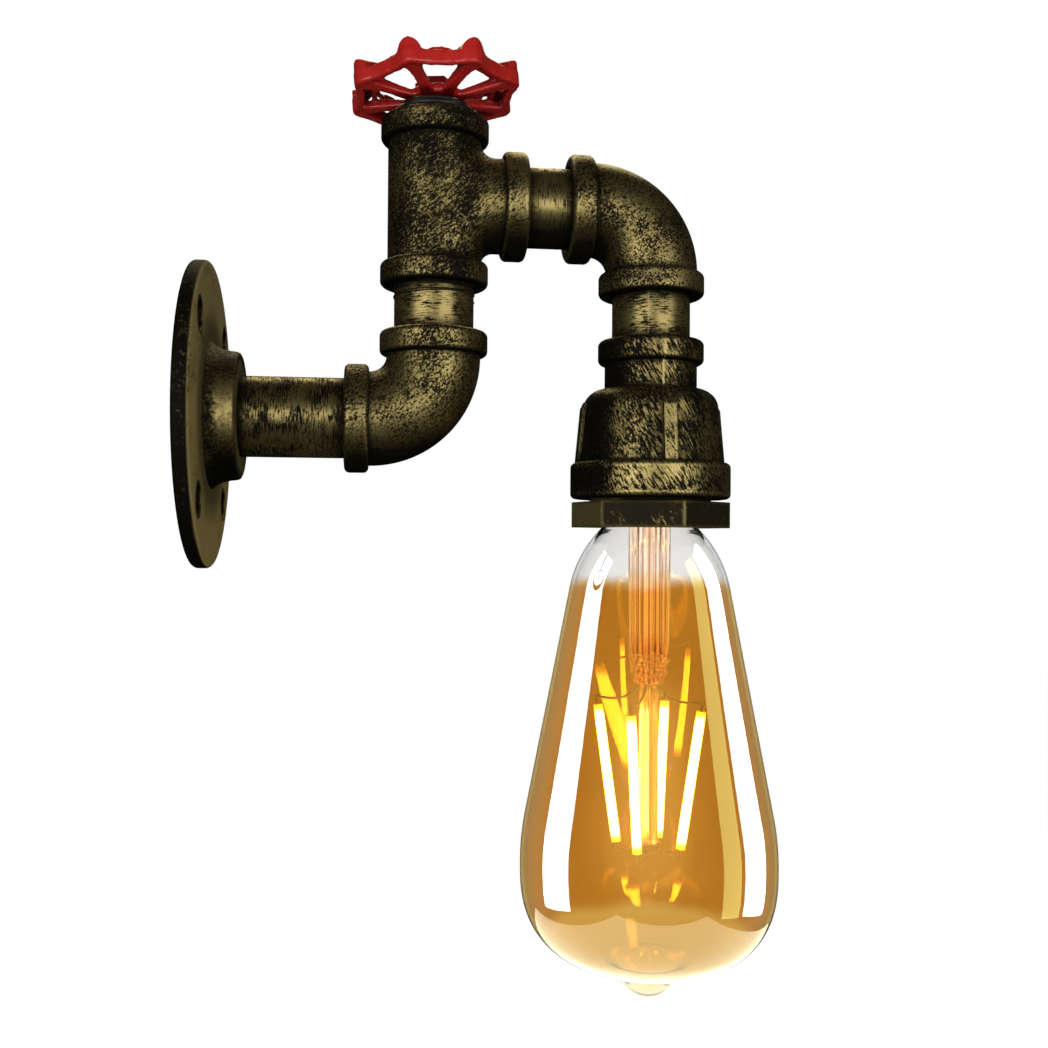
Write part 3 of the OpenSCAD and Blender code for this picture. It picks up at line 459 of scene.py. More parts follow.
def seam_line(axis, at):
    """Mask of a straight line on the camera's side, where the X or Z coordinate has a value."""
    def mask(tree, here):
        parts = parts_of(tree, here)
        line = ramp(tree, apart(tree, parts[axis], at), 0.4 * seam_half, seam_half, 1.0, 0.0)
        return times(tree, line, ramp(tree, parts["Y"], *seam_near, 1.0, 0.0), seam_gold)
    return mask


round_the_riser = dict(
    stretch=(0.12, 0.12, 1.0), bump=0.14, sheen=0.33,
    Grain=2400.0, Stroke=3300.0, Patch=230.0, Drag=0.75, Patchy=0.32, Hard=1.45, Cover=0.085,
)
round_the_level = dict(round_the_riser, stretch=(1.0, 0.12, 0.12), Cover=0.055)
round_the_cross = dict(round_the_level, sheen=0.30, Cover=0.13)
drop_seam, cross_seam = seam_line("X", drop_x - 0.0030), seam_line("Z", tee_z + 0.0024)
dress(bronzed("bronzed_pipe_riser", **round_the_riser), "riser_nipple")
dress(bronzed("bronzed_pipe_drop", extra=drop_seam, **round_the_riser), "drop_nipple")
dress(bronzed("bronzed_pipe_wall", below=1.0, **round_the_level), "wall_nipple")
dress(bronzed("bronzed_pipe_cross", extra=cross_seam, **round_the_cross), "cross_nipple")


# Thread: the last turns of the thread cut on a nipple, which show where it leaves its socket. The same
# rule winds the wire round the foot of the bulb's rod.
def shape_rule(name, inputs):
    """A new Geometry Nodes tree; a default that is a tuple makes a vector, a whole number a count."""
    tree = bpy.data.node_groups.new(name, "GeometryNodeTree")
    for label, default in inputs.items():
        kind = {tuple: "NodeSocketVector", int: "NodeSocketInt", float: "NodeSocketFloat"}[type(default)]
        tree.interface.new_socket(label, in_out="INPUT", socket_type=kind).default_value = default
    tree.interface.new_socket("Finish", in_out="INPUT", socket_type="NodeSocketMaterial")
    tree.interface.new_socket("Mesh", in_out="OUTPUT", socket_type="NodeSocketGeometry")
    return tree, tree.nodes.new("NodeGroupInput").outputs


def sweep_round(tree, path, radius, sides):
    """A round rod along a path, closed at both ends."""
    outline = place(tree, "GeometryNodeCurvePrimitiveCircle", {"Resolution": sides, "Radius": radius})
    return place(
        tree, "GeometryNodeCurveToMesh",
        {"Curve": path.outputs[0], "Profile Curve": outline.outputs[0], "Fill Caps": True},
    ).outputs[0]


def close_rule(tree, given, geometry):
    """Ends a tree: its shape becomes one mesh, goes to its place and gets its finish."""
    for kind, inputs in (
        ("GeometryNodeRealizeInstances", {}),
        ("GeometryNodeTransform", {"Translation": given["Place"]}),
        ("GeometryNodeSetMaterial", {"Material": given["Finish"]}),
    ):
        geometry = place(tree, kind, {"Geometry": geometry, **inputs}).outputs[0]
    feed(tree, tree.nodes.new("NodeGroupOutput"), {0: geometry})


def follow(name, rule, material, **values):
    """The plain mesh that a Geometry Nodes tree gives for these values."""
    blank = bpy.data.objects.new(name + "_rule", bpy.data.meshes.new(name + "_rule"))
    scene.collection.objects.link(blank)
    modifier = blank.modifiers.new("rule", "NODES")
    modifier.node_group = rule
    values["Finish"] = material
    for item in rule.interface.items_tree:
        if item.in_out == "INPUT" and item.name in values:
            modifier[item.identifier] = values[item.name]
    bpy.context.view_layer.update()
    mesh = bpy.data.meshes.new_from_object(blank.evaluated_get(bpy.context.evaluated_depsgraph_get()))
    mesh.name = name
    bpy.data.objects.remove(blank)
    smooth(mesh)
    return mesh


pipe_thread, thread_in = shape_rule("pipe_thread", {
    "Radius": 0.0106, "Ridge": 0.00034, "Pitch": 0.001814, "Turns": 2.0, "Place": (0.0, 0.0, 0.0),
})
thread_path = place(pipe_thread, "GeometryNodeCurveSpiral", {
    "Resolution": 96, "Rotations": thread_in["Turns"], "Start Radius": thread_in["Radius"],
    "End Radius": thread_in["Radius"], "Height": times(pipe_thread, thread_in["Pitch"], thread_in["Turns"]),
    "Reverse": True,
})
close_rule(pipe_thread, thread_in, sweep_round(pipe_thread, thread_path, thread_in["Ridge"], 8))
thread_paint = bronzed(
    "bronzed_thread", stretch=(0.05, 0.05, 1.0),
    Grain=1700.0, Stroke=2600.0, Patch=150.0, Drag=0.6, Cover=-0.03,
)
riser_end_z, drop_end_z = 0.0318, 0.0352
riser_thread = follow("riser_thread", pipe_thread, thread_paint, Turns=2.1, Place=(riser_x, 0.0, riser_end_z))
add_piece("riser_thread", riser_thread, "pipework", "bronzed_pipe")
drop_thread = follow("drop_thread", pipe_thread, thread_paint, Turns=2.3, Place=(drop_x, 0.0, drop_end_z))
add_piece("drop_thread", drop_thread, "pipework", "bronzed_pipe")

# Reducing socket: one casting used as the hood, with a mould line down its neck and four upright ribs.
# Its gold was wiped on in slanting strokes, lies thick on the sides of the ribs, and is worn off the rim.
wipe_turn = (0.0, math.radians(-57.0), 0.0)
rib_turn, rib_half, rib_soft, rib_middle = math.radians(2.7), 0.0018, 0.0004, 0.45
bell_low_z, bell_high_z, rim_low_z, bell_soft = -0.0112, 0.0052, -0.0207, 0.0006
worn_at_z, worn_width, worn_gold = (bell_low_z - 0.0010, rim_low_z + 0.0012), (0.0002, 0.0008), 0.7
mould_width, mould_gold, wall_side, wall_side_shade = (0.00018, 0.00036), 0.7, (-0.82, -0.60), 0.7
rib_speckle, rib_speckle_at, rib_thickness = (1600.0, 4.0, 0.6), (0.38, 0.58), (0.1, 0.9)


def ribs_and_line(tree, here):
    """Gold on the ribs of the bell, most on their sides, on two worn edges of the rim and in a thin line on
    the neck. It takes gold off what faces the wall, a painted shade on that side."""
    turned = place(
        tree, "ShaderNodeMapping",
        {"Vector": here, "Location": (drop_x, 0.0, 0.0), "Rotation": (0.0, 0.0, rib_turn)},
        vector_type="TEXTURE",
    ).outputs[0]
    parts = parts_of(tree, turned)
    off = [math_node(tree, "ABSOLUTE", parts[axis]) for axis in ("X", "Y")]
    off = math_node(tree, "MINIMUM", *off)
    above = ramp(tree, parts["Z"], bell_high_z - bell_soft, bell_high_z)
    below = ramp(tree, parts["Z"], bell_low_z - bell_soft, bell_low_z, 1.0, 0.0)
    on_bell = math_node(tree, "SUBTRACT", math_node(tree, "SUBTRACT", 1.0, above), below, clamp=True)
    rib = times(tree, ramp(tree, off, rib_half - rib_soft, rib_half, 1.0, 0.0), on_bell)
    gold = times(tree, rib, ramp(tree, off, 0.35 * rib_half, 0.60 * rib_half, rib_middle, 1.0))
    for edge_z in worn_at_z:
        worn = ramp(tree, apart(tree, parts["Z"], edge_z), *worn_width, worn_gold, 0.0)
        gold = math_node(tree, "ADD", gold, worn)
    gold = times(tree, gold, ramp(tree, noise(tree, here, *rib_speckle), *rib_speckle_at, *rib_thickness))
    line = times(tree, ramp(tree, off, *mould_width, mould_gold, 0.0), above)
    facing = parts_of(tree, coords(tree, "Normal"))["X"]
    wall_shade = ramp(tree, facing, *wall_side, wall_side_shade, 0.0)
    return math_node(tree, "SUBTRACT", math_node(tree, "ADD", gold, line), wall_shade)


bell_paint = bronzed(
    "bronzed_bell", turn=wipe_turn, stretch=(0.13, 1.0, 1.0), extra=ribs_and_line, rub_width=0.0008, bump=0.2,
    sheen=0.34, Grain=2000.0, Stroke=2200.0, Patch=110.0, Drag=0.7, Hard=1.3, Cover=0.02,
)
dress(bell_paint, "reducer")

# Lock ring: a turned and milled hexagon, painted like the castings but smoother and darker. Its facets on
# the wall's side are painted paler olive, a painted light.
ring_lit_facing, ring_dark, ring_lit_olive = (-0.75, -0.55), (0.015, 0.0120, 0.0048, 1.0), (0.088, 0.070, 0.027, 1.0)


# Painted light: paler olive on the facets that face the wall's side, dark olive on the rest.
def wall_side_lit(tree, here):
    facing = parts_of(tree, coords(tree, "Normal"))["X"]
    return mix_colours(tree, ramp(tree, facing, *ring_lit_facing, 1.0, 0.0), ring_dark, ring_lit_olive)


ring_paint = bronzed(
    "bronzed_ring", turn=wipe_turn, stretch=(0.2, 1.0, 1.0), edge=1.0, rub_width=0.0016, bump=0.12,
    under=wall_side_lit, Grain=1900.0, Stroke=1400.0, Patch=120.0, Drag=0.7, Hard=1.3, Cover=-0.075,
)
dress(ring_paint, "lock_ring")

# Plug and spindle: turned steel, blackened and oiled. The plug screws into the top of the tee, and the
# spindle on it carries the wheel.
noise_middle = (0.3, 0.7)


def mottled(name, scale, detail, dark, light, rough, fixed=None):
    """A plain finish: one noise moves its colour between two tones and its roughness between two values."""
    material, tree, shader = finish(name)
    spots = noise(tree, coords(tree), scale, detail)
    feed(tree, shader, {
        "Base Color": mix_colours(tree, spots, dark, light),
        "Roughness": ramp(tree, spots, *noise_middle, *rough),
        **(fixed or {}),
    })
    return material


blackened = mottled(
    "black_steel", 420.0, 4.0, (0.003, 0.003, 0.003, 1.0), (0.014, 0.013, 0.011, 1.0), (0.34, 0.55),
    {"Specular IOR Level": 0.3},
)
dress(blackened, "top_plug", "wheel_spindle")

# Valve wheel: a casting with soft edges, dipped in thick red enamel, with its nut and washer painted over.
# It turns on the spindle, so it rides on its own body.
red_dark, red_light = (0.43, 0.015, 0.0122, 1.0), (0.54, 0.023, 0.018, 1.0)
red_shaded, enamel_reach, enamel_shade = (0.10, 0.002, 0.002, 1.0), 0.004, (0.25, 0.9)
enamel, enamel_tree, enamel_shader = finish("red_enamel")
enamel_here = coords(enamel_tree)
enamel_skin = noise(enamel_tree, enamel_here, 420.0, 2.0)
# Painted shade: the red deepens to dark red in corners and hollows, found by occlusion.
enamel_occlusion = place(enamel_tree, "ShaderNodeAmbientOcclusion", {"Distance": enamel_reach}, samples=rub_samples)
enamel_unshaded = ramp(enamel_tree, enamel_occlusion.outputs["AO"], *enamel_shade)
enamel_red = mix_colours(enamel_tree, noise(enamel_tree, enamel_here, 180.0), red_dark, red_light)
enamel_dents = place(enamel_tree, "ShaderNodeBump", {
    "Strength": 0.2, "Distance": 0.0003, "Height": enamel_skin,
})
feed(enamel_tree, enamel_shader, {
    "Base Color": mix_colours(enamel_tree, enamel_unshaded, red_shaded, enamel_red),
    "Roughness": ramp(enamel_tree, enamel_skin, *noise_middle, 0.20, 0.34),
    "Normal": enamel_dents.outputs[0],
})
dress(enamel, "valve_wheel", "wheel_washer", "wheel_nut")

wheel_grain, wheel_passes, same_point = 0.00036, 9, 1e-6
rough_wheel = bpy.data.objects.new("rough_wheel", nodes["valve_wheel"].data.copy())
scene.collection.objects.link(rough_wheel)
wheel_shell = bmesh.new()
wheel_shell.from_mesh(rough_wheel.data)
bmesh.ops.remove_doubles(wheel_shell, verts=wheel_shell.verts, dist=same_point)
wheel_shell.to_mesh(rough_wheel.data)
wheel_shell.free()
recast = rough_wheel.modifiers.new("recast", "REMESH")
recast.mode = "VOXEL"
recast.voxel_size = wheel_grain
tumbled = rough_wheel.modifiers.new("tumbled", "SMOOTH")
tumbled.factor, tumbled.iterations = 0.5, wheel_passes
bpy.context.view_layer.update()
wheel_mesh = bpy.data.meshes.new_from_object(rough_wheel.evaluated_get(bpy.context.evaluated_depsgraph_get()))
bpy.data.objects.remove(rough_wheel)
wheel_mesh.name = "handwheel"
wheel_mesh.polygons.foreach_set("use_smooth", [True] * len(wheel_mesh.polygons))
wheel_mesh.materials.clear()
wheel_mesh.materials.append(enamel)
add_piece("handwheel", wheel_mesh, "wheel", "red_enamel", "valve_wheel")

# Lampholder: a moulded black body held in the bell by the lock ring, with a rolled brass screw shell, a
# contact tongue and terminal screws. The supply lead comes down the pipe through its grip.
moulded = mottled(
    "phenolic", 900.0, 3.0, (0.012, 0.010, 0.009, 1.0), (0.03, 0.026, 0.023, 1.0), (0.38, 0.55)
)
dress(moulded, "lampholder_body", "cord_grip", "bulb_insulator")
sheet_brass = mottled(
    "brass", 700.0, 4.0, (0.52, 0.37, 0.13, 1.0), (0.66, 0.49, 0.20, 1.0), (0.22, 0.36), {"Metallic": 1.0}
)
dress(sheet_brass, "lampholder_shell", "lampholder_contact", "terminal_screws", "bulb_cap", "bulb_tip")
sheath = mottled(
    "lead_sheath", 500.0, 2.0, (0.62, 0.61, 0.57, 1.0), (0.74, 0.73, 0.69, 1.0), (0.42, 0.56)
)
dress(sheath, "supply_lead")

turned_steps, turned_crease = 144, 50.0
cap_rim_z, screw_pitch = -0.025, 0.003629


def spin(name, outline, material, steps=turned_steps, wave=None):
    """Turns a closed outline of (radius, height) in millimetres, drawn from the rim of the bulb's cap, about
    the drop. wave gives what a height and an angle add to the radius."""
    verts, rings = [], []
    for radius, height in outline:
        z = cap_rim_z + height / 1000.0
        if radius == 0.0:
            rings.append([len(verts)] * steps)
            verts.append((drop_x, 0.0, z))
            continue
        rings.append(list(range(len(verts), len(verts) + steps)))
        for i in range(steps):
            angle = math.tau * i / steps
            out = (radius + (wave(height, angle) if wave else 0.0)) / 1000.0
            verts.append((drop_x + out * math.cos(angle), out * math.sin(angle), z))
    faces = []
    for upper, lower in zip(rings, rings[1:] + rings[:1]):
        for i in range(steps):
            j = (i + 1) % steps
            corners = list(dict.fromkeys((upper[i], upper[j], lower[j], lower[i])))
            if len(corners) > 2:
                faces.append(corners)
    shell = bmesh.new()
    mesh = bpy.data.meshes.new(name)
    mesh.from_pydata(verts, [], faces)
    shell.from_mesh(mesh)
    bmesh.ops.recalc_face_normals(shell, faces=shell.faces)
    shell.to_mesh(mesh)
    shell.free()
    smooth(mesh, turned_crease)
    mesh.materials.append(material)
    return mesh


def spaced(start, end, count):
    return [start + (end - start) * i / count for i in range(count + 1)]


def run_out(height, low, high, fade):
    """1 between two heights, falling to 0 at both over a length."""
    return min(max((height - low) / fade, 0.0), max((high - height) / fade, 0.0), 1.0)


def rolled(low, high, fade, depth):
    """A rolled right-hand screw thread between two heights, run out over a length at each end."""
    def wave(height, angle):
        turns = height * 0.001 / screw_pitch
        return depth * run_out(height, low, high, fade) * math.cos(math.tau * turns - angle)
    return wave


shell_low, shell_high, shell_inside, shell_outside, shell_rows = 6.0, 27.2, 13.43, 13.62, 70
shell_thread = rolled(shell_low + 0.6, shell_high - 3.0, 1.5, 0.08)
shell_outline = [(shell_inside, h) for h in spaced(shell_low, shell_high, shell_rows)]
shell_outline += [(shell_outside, h) for h in spaced(shell_high, shell_low, shell_rows)]
shell_mesh = spin("screw_shell", shell_outline, sheet_brass, wave=shell_thread)
add_piece("screw_shell", shell_mesh, "pipework", "brass", "lampholder_shell")

# Bulb cap: a brass shell rolled into a screw thread, crimped on the neck of the glass, with a black glass
# insulator and a soldered tip. The driver board lies inside it.
cap_wall, cap_rim_r, cap_screw_r, cap_screw_low, cap_screw_high, cap_rows = 0.35, 13.0, 12.6, 7.2, 19.2, 60
cap_side = [(cap_rim_r, h) for h in (0.0, 0.5, 6.0)] + [(12.75, 6.6)]
cap_side += [(cap_screw_r, h) for h in spaced(cap_screw_low, cap_screw_high, cap_rows)]
cap_side += [(12.3, 19.7), (11.9, 20.1)]
cap_outline = cap_side + [(10.05, 22.0), (7.05, 22.0), (7.05, 21.6), (9.9, 21.6)]
cap_outline += [(radius - cap_wall, height) for radius, height in reversed(cap_side)]
cap_mesh = spin("screw_cap", cap_outline, sheet_brass, wave=rolled(cap_screw_low, 19.4, 1.6, 0.44))
add_piece("screw_cap", cap_mesh, "bulb", "brass", "bulb_cap")

board = mottled("board", 800.0, 2.0, (0.01, 0.08, 0.03, 1.0), (0.02, 0.14, 0.05, 1.0), (0.28, 0.42))
dress(board, "bulb_driver")

# Bulb glass: one blown envelope, sealed at the pip. A gold lustre colours it, and stops short of the neck,
# which is left clear. The glass also has a painted glow of the filaments and a painted white reflection.
neck_clear, foot_reflection_pale = (0.95, 0.95, 0.94, 1.0), (0.93, 0.85, 0.61, 1.0)
amber_dark, amber_light = (0.655, 0.385, 0.09, 1.0), (0.735, 0.465, 0.135, 1.0)
painted_glow_amber, reflection_white = (1.0, 0.68, 0.20, 1.0), (0.85, 1.0, 0.75, 1.0)
lustre_from_z, foot_reflection_from_z = (-0.0395, -0.0440), (-0.1365, -0.1400)
painted_glow_upper_z, painted_glow_lower_z = (-0.062, -0.080), (-0.130, -0.112)
painted_glow_width, painted_glow_share = (0.004, 0.085), 0.095
reflection_slant, reflection_share, ragged = (0.22, 0.55), 0.042, 0.003
lustre, lustre_tree, lustre_shader = finish("amber_glass")
lustre_here = coords(lustre_tree)
lustre_z = parts_of(lustre_tree, lustre_here)["Z"]
lustre_ragged = times(lustre_tree, noise(lustre_tree, lustre_here, 90.0, 2.0), ragged)
lustre_ragged = math_node(lustre_tree, "ADD", lustre_z, lustre_ragged)
lustre_share = ramp(lustre_tree, lustre_ragged, *lustre_from_z)
lustre_tone = mix_colours(lustre_tree, noise(lustre_tree, lustre_here, 40.0, 2.0), amber_dark, amber_light)
# Painted reflection: the glass is paler at its foot, as if mirroring the pale floor below.
lustre_tone = mix_colours(lustre_tree, ramp(lustre_tree, lustre_ragged, *foot_reflection_from_z), lustre_tone, foot_reflection_pale)
lustre_facing = place(lustre_tree, "ShaderNodeLayerWeight", {"Blend": 0.5}).outputs["Facing"]
# Painted glow: amber light on the glass that faces the eye, level with the filaments.
lustre_painted_glow = times(
    lustre_tree, ramp(lustre_tree, lustre_z, *painted_glow_upper_z), ramp(lustre_tree, lustre_z, *painted_glow_lower_z),
    ramp(lustre_tree, lustre_facing, *painted_glow_width, 1.0, 0.0), painted_glow_share,
)
# Painted reflection: white light on the lustre where the glass is seen aslant.
lustre_painted_reflection = times(lustre_tree, ramp(lustre_tree, lustre_facing, *reflection_slant), lustre_share)
lustre_painted_light = math_node(lustre_tree, "ADD", lustre_painted_glow, times(lustre_tree, lustre_painted_reflection, reflection_share))
feed(lustre_tree, lustre_shader, {
    "Base Color": mix_colours(lustre_tree, lustre_share, neck_clear, lustre_tone),
    "Emission Color": mix_colours(lustre_tree, lustre_painted_reflection, painted_glow_amber, reflection_white),
    "Emission Strength": lustre_painted_light,
    "Roughness": 0.015, "IOR": 1.55, "Transmission Weight": 1.0,
})

neck_r, neck_top, widest_r, widest_z, belly_h, belly_full = 12.4, 6.0, 35.0, -94.6, 28.5, 2.68
cone, flank_r = math.radians(10.95), 70.0
shoulder_start, shoulder_r, shoulder_z = math.radians(46.0), 32.0, -20.0
pip_r, pip_flare, pip_h, pip_thick, glass_wall = 8.2, 3.2, 8.6, 1.5, 0.9
shoulder_rows, cone_rows, flank_rows, belly_rows, pip_rows = 16, 10, 12, 36, 16


def on_circle(middle, radius, angle):
    return middle[0] + radius * math.cos(angle), middle[1] + radius * math.sin(angle)


def arc(middle, radius, start, end, count):
    return [on_circle(middle, radius, angle) for angle in spaced(start, end, count)]


def belly_point(angle, wall):
    power = 2.0 / belly_full
    out, down = math.cos(angle) ** power, math.sin(angle) ** power
    return (widest_r - wall) * out, widest_z - (belly_h - wall) * down


def envelope(wall):
    """Outline of the glass from the neck to the foot of the pip, moved inwards by a wall."""
    flank_mid = (widest_r - flank_r, widest_z)
    flank_top = on_circle(flank_mid, flank_r, cone)
    meet = (flank_top[0] - (shoulder_z - flank_top[1]) * math.tan(cone), shoulder_z)
    shoulder_mid = (meet[0] - shoulder_r * math.cos(cone), meet[1] - shoulder_r * math.sin(cone))
    points = [(neck_r - wall, height) for height in (neck_top, 2.0, -1.0)]
    points += arc(shoulder_mid, shoulder_r - wall, shoulder_start, cone, shoulder_rows)
    low, high = points[-1], on_circle(flank_mid, flank_r - wall, cone)
    points += [
        (low[0] + (high[0] - low[0]) * t, low[1] + (high[1] - low[1]) * t)
        for t in spaced(0.0, 1.0, cone_rows)[1:-1]
    ]
    points += arc(flank_mid, flank_r - wall, cone, 0.0, flank_rows)
    belly_end = math.acos(((pip_r + pip_flare) / widest_r) ** (belly_full / 2.0))
    return points + [belly_point(belly_end * t, wall) for t in spaced(0.0, 1.0, belly_rows)[1:]]


pip_top = envelope(0.0)[-1][1]


def pip(wall):
    """Outline of the pip below the envelope, from its flare to its tip, where the glass is thicker."""
    depth = pip_h - pip_thick * wall
    return [
        ((pip_r - wall) * math.cos(a) + pip_flare * (1.0 - math.sin(a)) ** 4, pip_top - depth * math.sin(a))
        for a in spaced(0.0, math.pi / 2.0, pip_rows)[1:-1]
    ] + [(0.0, pip_top - pip_h + pip_thick * wall)]


glass_outline = envelope(0.0) + pip(0.0) + list(reversed(envelope(glass_wall) + pip(glass_wall)))
glass_mesh = spin("bulb_envelope", glass_outline, lustre)
glass = add_piece("bulb_envelope", glass_mesh, "bulb", "amber_glass", "bulb_glass")
glass_only.objects.link(glass)
all_but_glass.objects.link(glass)
all_but_glass.collection_objects[-1].light_linking.link_state = "EXCLUDE"
# The pipes nearest the wall are hidden from mirrored rays, as their image would break the glass's left streak
for name in ("wall_flange", "wall_nipple", "lower_elbow", "riser_nipple", "tee"):
    nodes[name].visible_glossy = False

# Stem: a drawn glass tube with the pump tube and two copper leads inside it, pinched shut at its foot round
# the leads, and a rod drawn out of the pinch that carries the filaments.
drawn_dark, drawn_light = (0.98, 0.90, 0.85, 1.0), (1.0, 0.95, 0.91, 1.0)
pinch_brown, line_brown, stem_painted_glow = (0.80, 0.50, 0.36, 1.0), (0.55, 0.32, 0.20, 1.0), (1.0, 0.76, 0.46, 1.0)
pinch_upper_z, pinch_lower_z, lit_from_z = (-0.0560, -0.0625), (-0.0716, -0.0704), (-0.0400, -0.0470)
drawn_line_count, drawn_line_share, line_edge, stem_glow, stem_glow_top = 20.0, 0.75, (0.35, 0.85), 0.24, 0.4
drawn_glass, drawn_tree, drawn_shader = finish("clear_glass")
drawn_here = coords(drawn_tree)
drawn_parts = parts_of(drawn_tree, drawn_here)
drawn_z = drawn_parts["Z"]
drawn_tone = mix_colours(drawn_tree, noise(drawn_tree, drawn_here, 200.0, 2.0), drawn_dark, drawn_light)
drawn_pinch = times(
    drawn_tree, ramp(drawn_tree, drawn_z, *pinch_upper_z), ramp(drawn_tree, drawn_z, *pinch_lower_z)
)
drawn_tone = mix_colours(drawn_tree, drawn_pinch, drawn_tone, pinch_brown)
drawn_out = math_node(drawn_tree, "SUBTRACT", drawn_parts["X"], drop_x)
drawn_angle = math_node(drawn_tree, "ARCTAN2", drawn_parts["Y"], drawn_out)
drawn_lines = math_node(drawn_tree, "SINE", times(drawn_tree, drawn_angle, drawn_line_count))
drawn_lines = ramp(drawn_tree, drawn_lines, *line_edge)
# Painted glow: the stem glows warm between its drawn lines, most on its lower part, near the filaments.
drawn_lit = ramp(drawn_tree, drawn_z, *lit_from_z, stem_glow_top, 1.0)
drawn_lit = times(drawn_tree, drawn_lit, ramp(drawn_tree, drawn_lines, 0.0, 1.0, stem_glow, 0.0))
drawn_brown = times(drawn_tree, drawn_lines, drawn_line_share)
feed(drawn_tree, drawn_shader, {
    "Base Color": mix_colours(drawn_tree, drawn_brown, drawn_tone, line_brown),
    "Emission Color": stem_painted_glow, "Emission Strength": drawn_lit,
    "Roughness": 0.02, "IOR": 1.48, "Transmission Weight": 1.0,
})

pinch_z, stem_foot, rod_foot, tube_r, tube_inside, rod_r = -37.7, -45.7, -92.1, 5.7, 4.9, 2.6
pump_r, pump_inside, pump_top, stem_steps = 1.3, 0.7, 8.0, 96
flute_low, flute_high, flute_depth, flute_count, fold_depth = -36.0, -7.0, 0.13, 12.0, 0.42


def crinkled(height, angle):
    """Folds that the tongs leave in the pinch, and the flutes of the drawn tube and rod."""
    if flute_low < height < flute_high or rod_foot + 0.5 < height < stem_foot - 4.0:
        return flute_depth * math.cos(flute_count * angle)
    share = run_out(height, stem_foot + 0.4, pinch_z + 0.6, 1.5)
    folds = math.sin(3.0 * angle + 1.9 * height) + 0.6 * math.sin(7.0 * angle - 2.7 * height)
    folds += 0.5 * math.sin(2.1 * height)
    return -fold_depth * share * (1.0 + 0.9 * folds)


stem_outline = [(11.45, 4.0), (11.45, 3.2), (9.3, 1.6), (7.6, 0.2), (6.7, -1.0), (6.0, -2.4), (tube_r, -4.0)]
stem_outline += [(tube_r, h) for h in spaced(-8.0, pinch_z, 8)]
stem_outline += [
    (tube_r - 1.5 * t * t, pinch_z + (stem_foot - pinch_z) * t) for t in spaced(0.0, 1.0, 20)[1:]
]
stem_outline += [(3.3, stem_foot - 0.5), (rod_r, stem_foot - 1.2)]
stem_outline += [(rod_r, h) for h in spaced(stem_foot - 5.0, rod_foot + 1.0, 8)]
stem_outline += [(2.3, rod_foot + 0.3), (1.5, rod_foot), (0.0, rod_foot), (0.0, pinch_z)]
stem_outline += [(pump_inside, pinch_z), (pump_inside, pump_top), (pump_r, pump_top), (pump_r, pinch_z)]
stem_outline += [(tube_inside, pinch_z), (tube_inside, -4.2)]
stem_outline += [(5.3, -2.2), (6.0, -0.6), (7.3, 0.9), (9.45, 3.0), (9.45, 4.0)]
stem_mesh = spin("glass_stem", stem_outline, drawn_glass, stem_steps, crinkled)
add_piece("glass_stem", stem_mesh, "bulb", "clear_glass", "bulb_stem")

# Filaments: four lit phosphor sticks with tinned ends, hung on fine bare wires round the rod.
# The wires above hook into the pinch, and those below are wound round the foot of the rod.
bare_wire = mottled(
    "wire", 900.0, 2.0, (0.16, 0.085, 0.03, 1.0), (0.32, 0.19, 0.08, 1.0), (0.28, 0.42), {"Metallic": 1.0}
)
dress(bare_wire, "lead_in_wires", "upper_wires", "lower_wires")

phosphor, phosphor_deep, phosphor_pale = (0.9, 0.6, 0.15, 1.0), (1.0, 0.86, 0.56, 1.0), (1.0, 0.93, 0.72, 1.0)
stick_side, tinned_end = (1.0, 0.62, 0.05, 1.0), (0.16, 0.075, 0.006, 1.0)
tinned_top_z, tinned_low_z, side_slant = (-0.0822, -0.0782), (-0.1146, -0.1106), (0.35, 0.72)
front_power, side_power, mirrored_power, few_walls = 36.0, 3.6, 40.0, 2.5
glow, glow_tree, glow_shader = finish("filament")
glow_here = coords(glow_tree)
glow_z = parts_of(glow_tree, glow_here)["Z"]
glow_body = times(
    glow_tree, ramp(glow_tree, glow_z, *tinned_top_z, 1.0, 0.0), ramp(glow_tree, glow_z, *tinned_low_z)
)
glow_grain = mix_colours(glow_tree, noise(glow_tree, glow_here, 900.0, 2.0), phosphor_deep, phosphor_pale)
glow_path = place(glow_tree, "ShaderNodeLightPath").outputs
glow_through = glow_path["Is Transmission Ray"]
glow_mirrored = math_node(glow_tree, "SUBTRACT", glow_path["Is Glossy Ray"], glow_through, clamp=True)
glow_facing = place(glow_tree, "ShaderNodeLayerWeight", {"Blend": 0.5}).outputs["Facing"]
glow_side = math_node(glow_tree, "MAXIMUM", ramp(glow_tree, glow_facing, *side_slant), glow_mirrored)
glow_colour = mix_colours(glow_tree, glow_side, glow_grain, stick_side)
glow_off = times(
    glow_tree, math_node(glow_tree, "GREATER_THAN", glow_path["Glossy Depth"], half_step), glow_through,
    math_node(glow_tree, "LESS_THAN", glow_path["Transmission Depth"], few_walls),
)
glow_power = math_node(
    glow_tree, "MAXIMUM", ramp(glow_tree, glow_side, 0.0, 1.0, front_power, side_power),
    times(glow_tree, glow_mirrored, mirrored_power),
)
feed(glow_tree, glow_shader, {
    "Base Color": phosphor,
    "Emission Color": mix_colours(glow_tree, glow_body, tinned_end, glow_colour),
    "Emission Strength": times(glow_tree, glow_power, math_node(glow_tree, "SUBTRACT", 1.0, glow_off)),
})
glow.cycles.emission_sampling = "NONE"
dress(glow, "led_filaments")

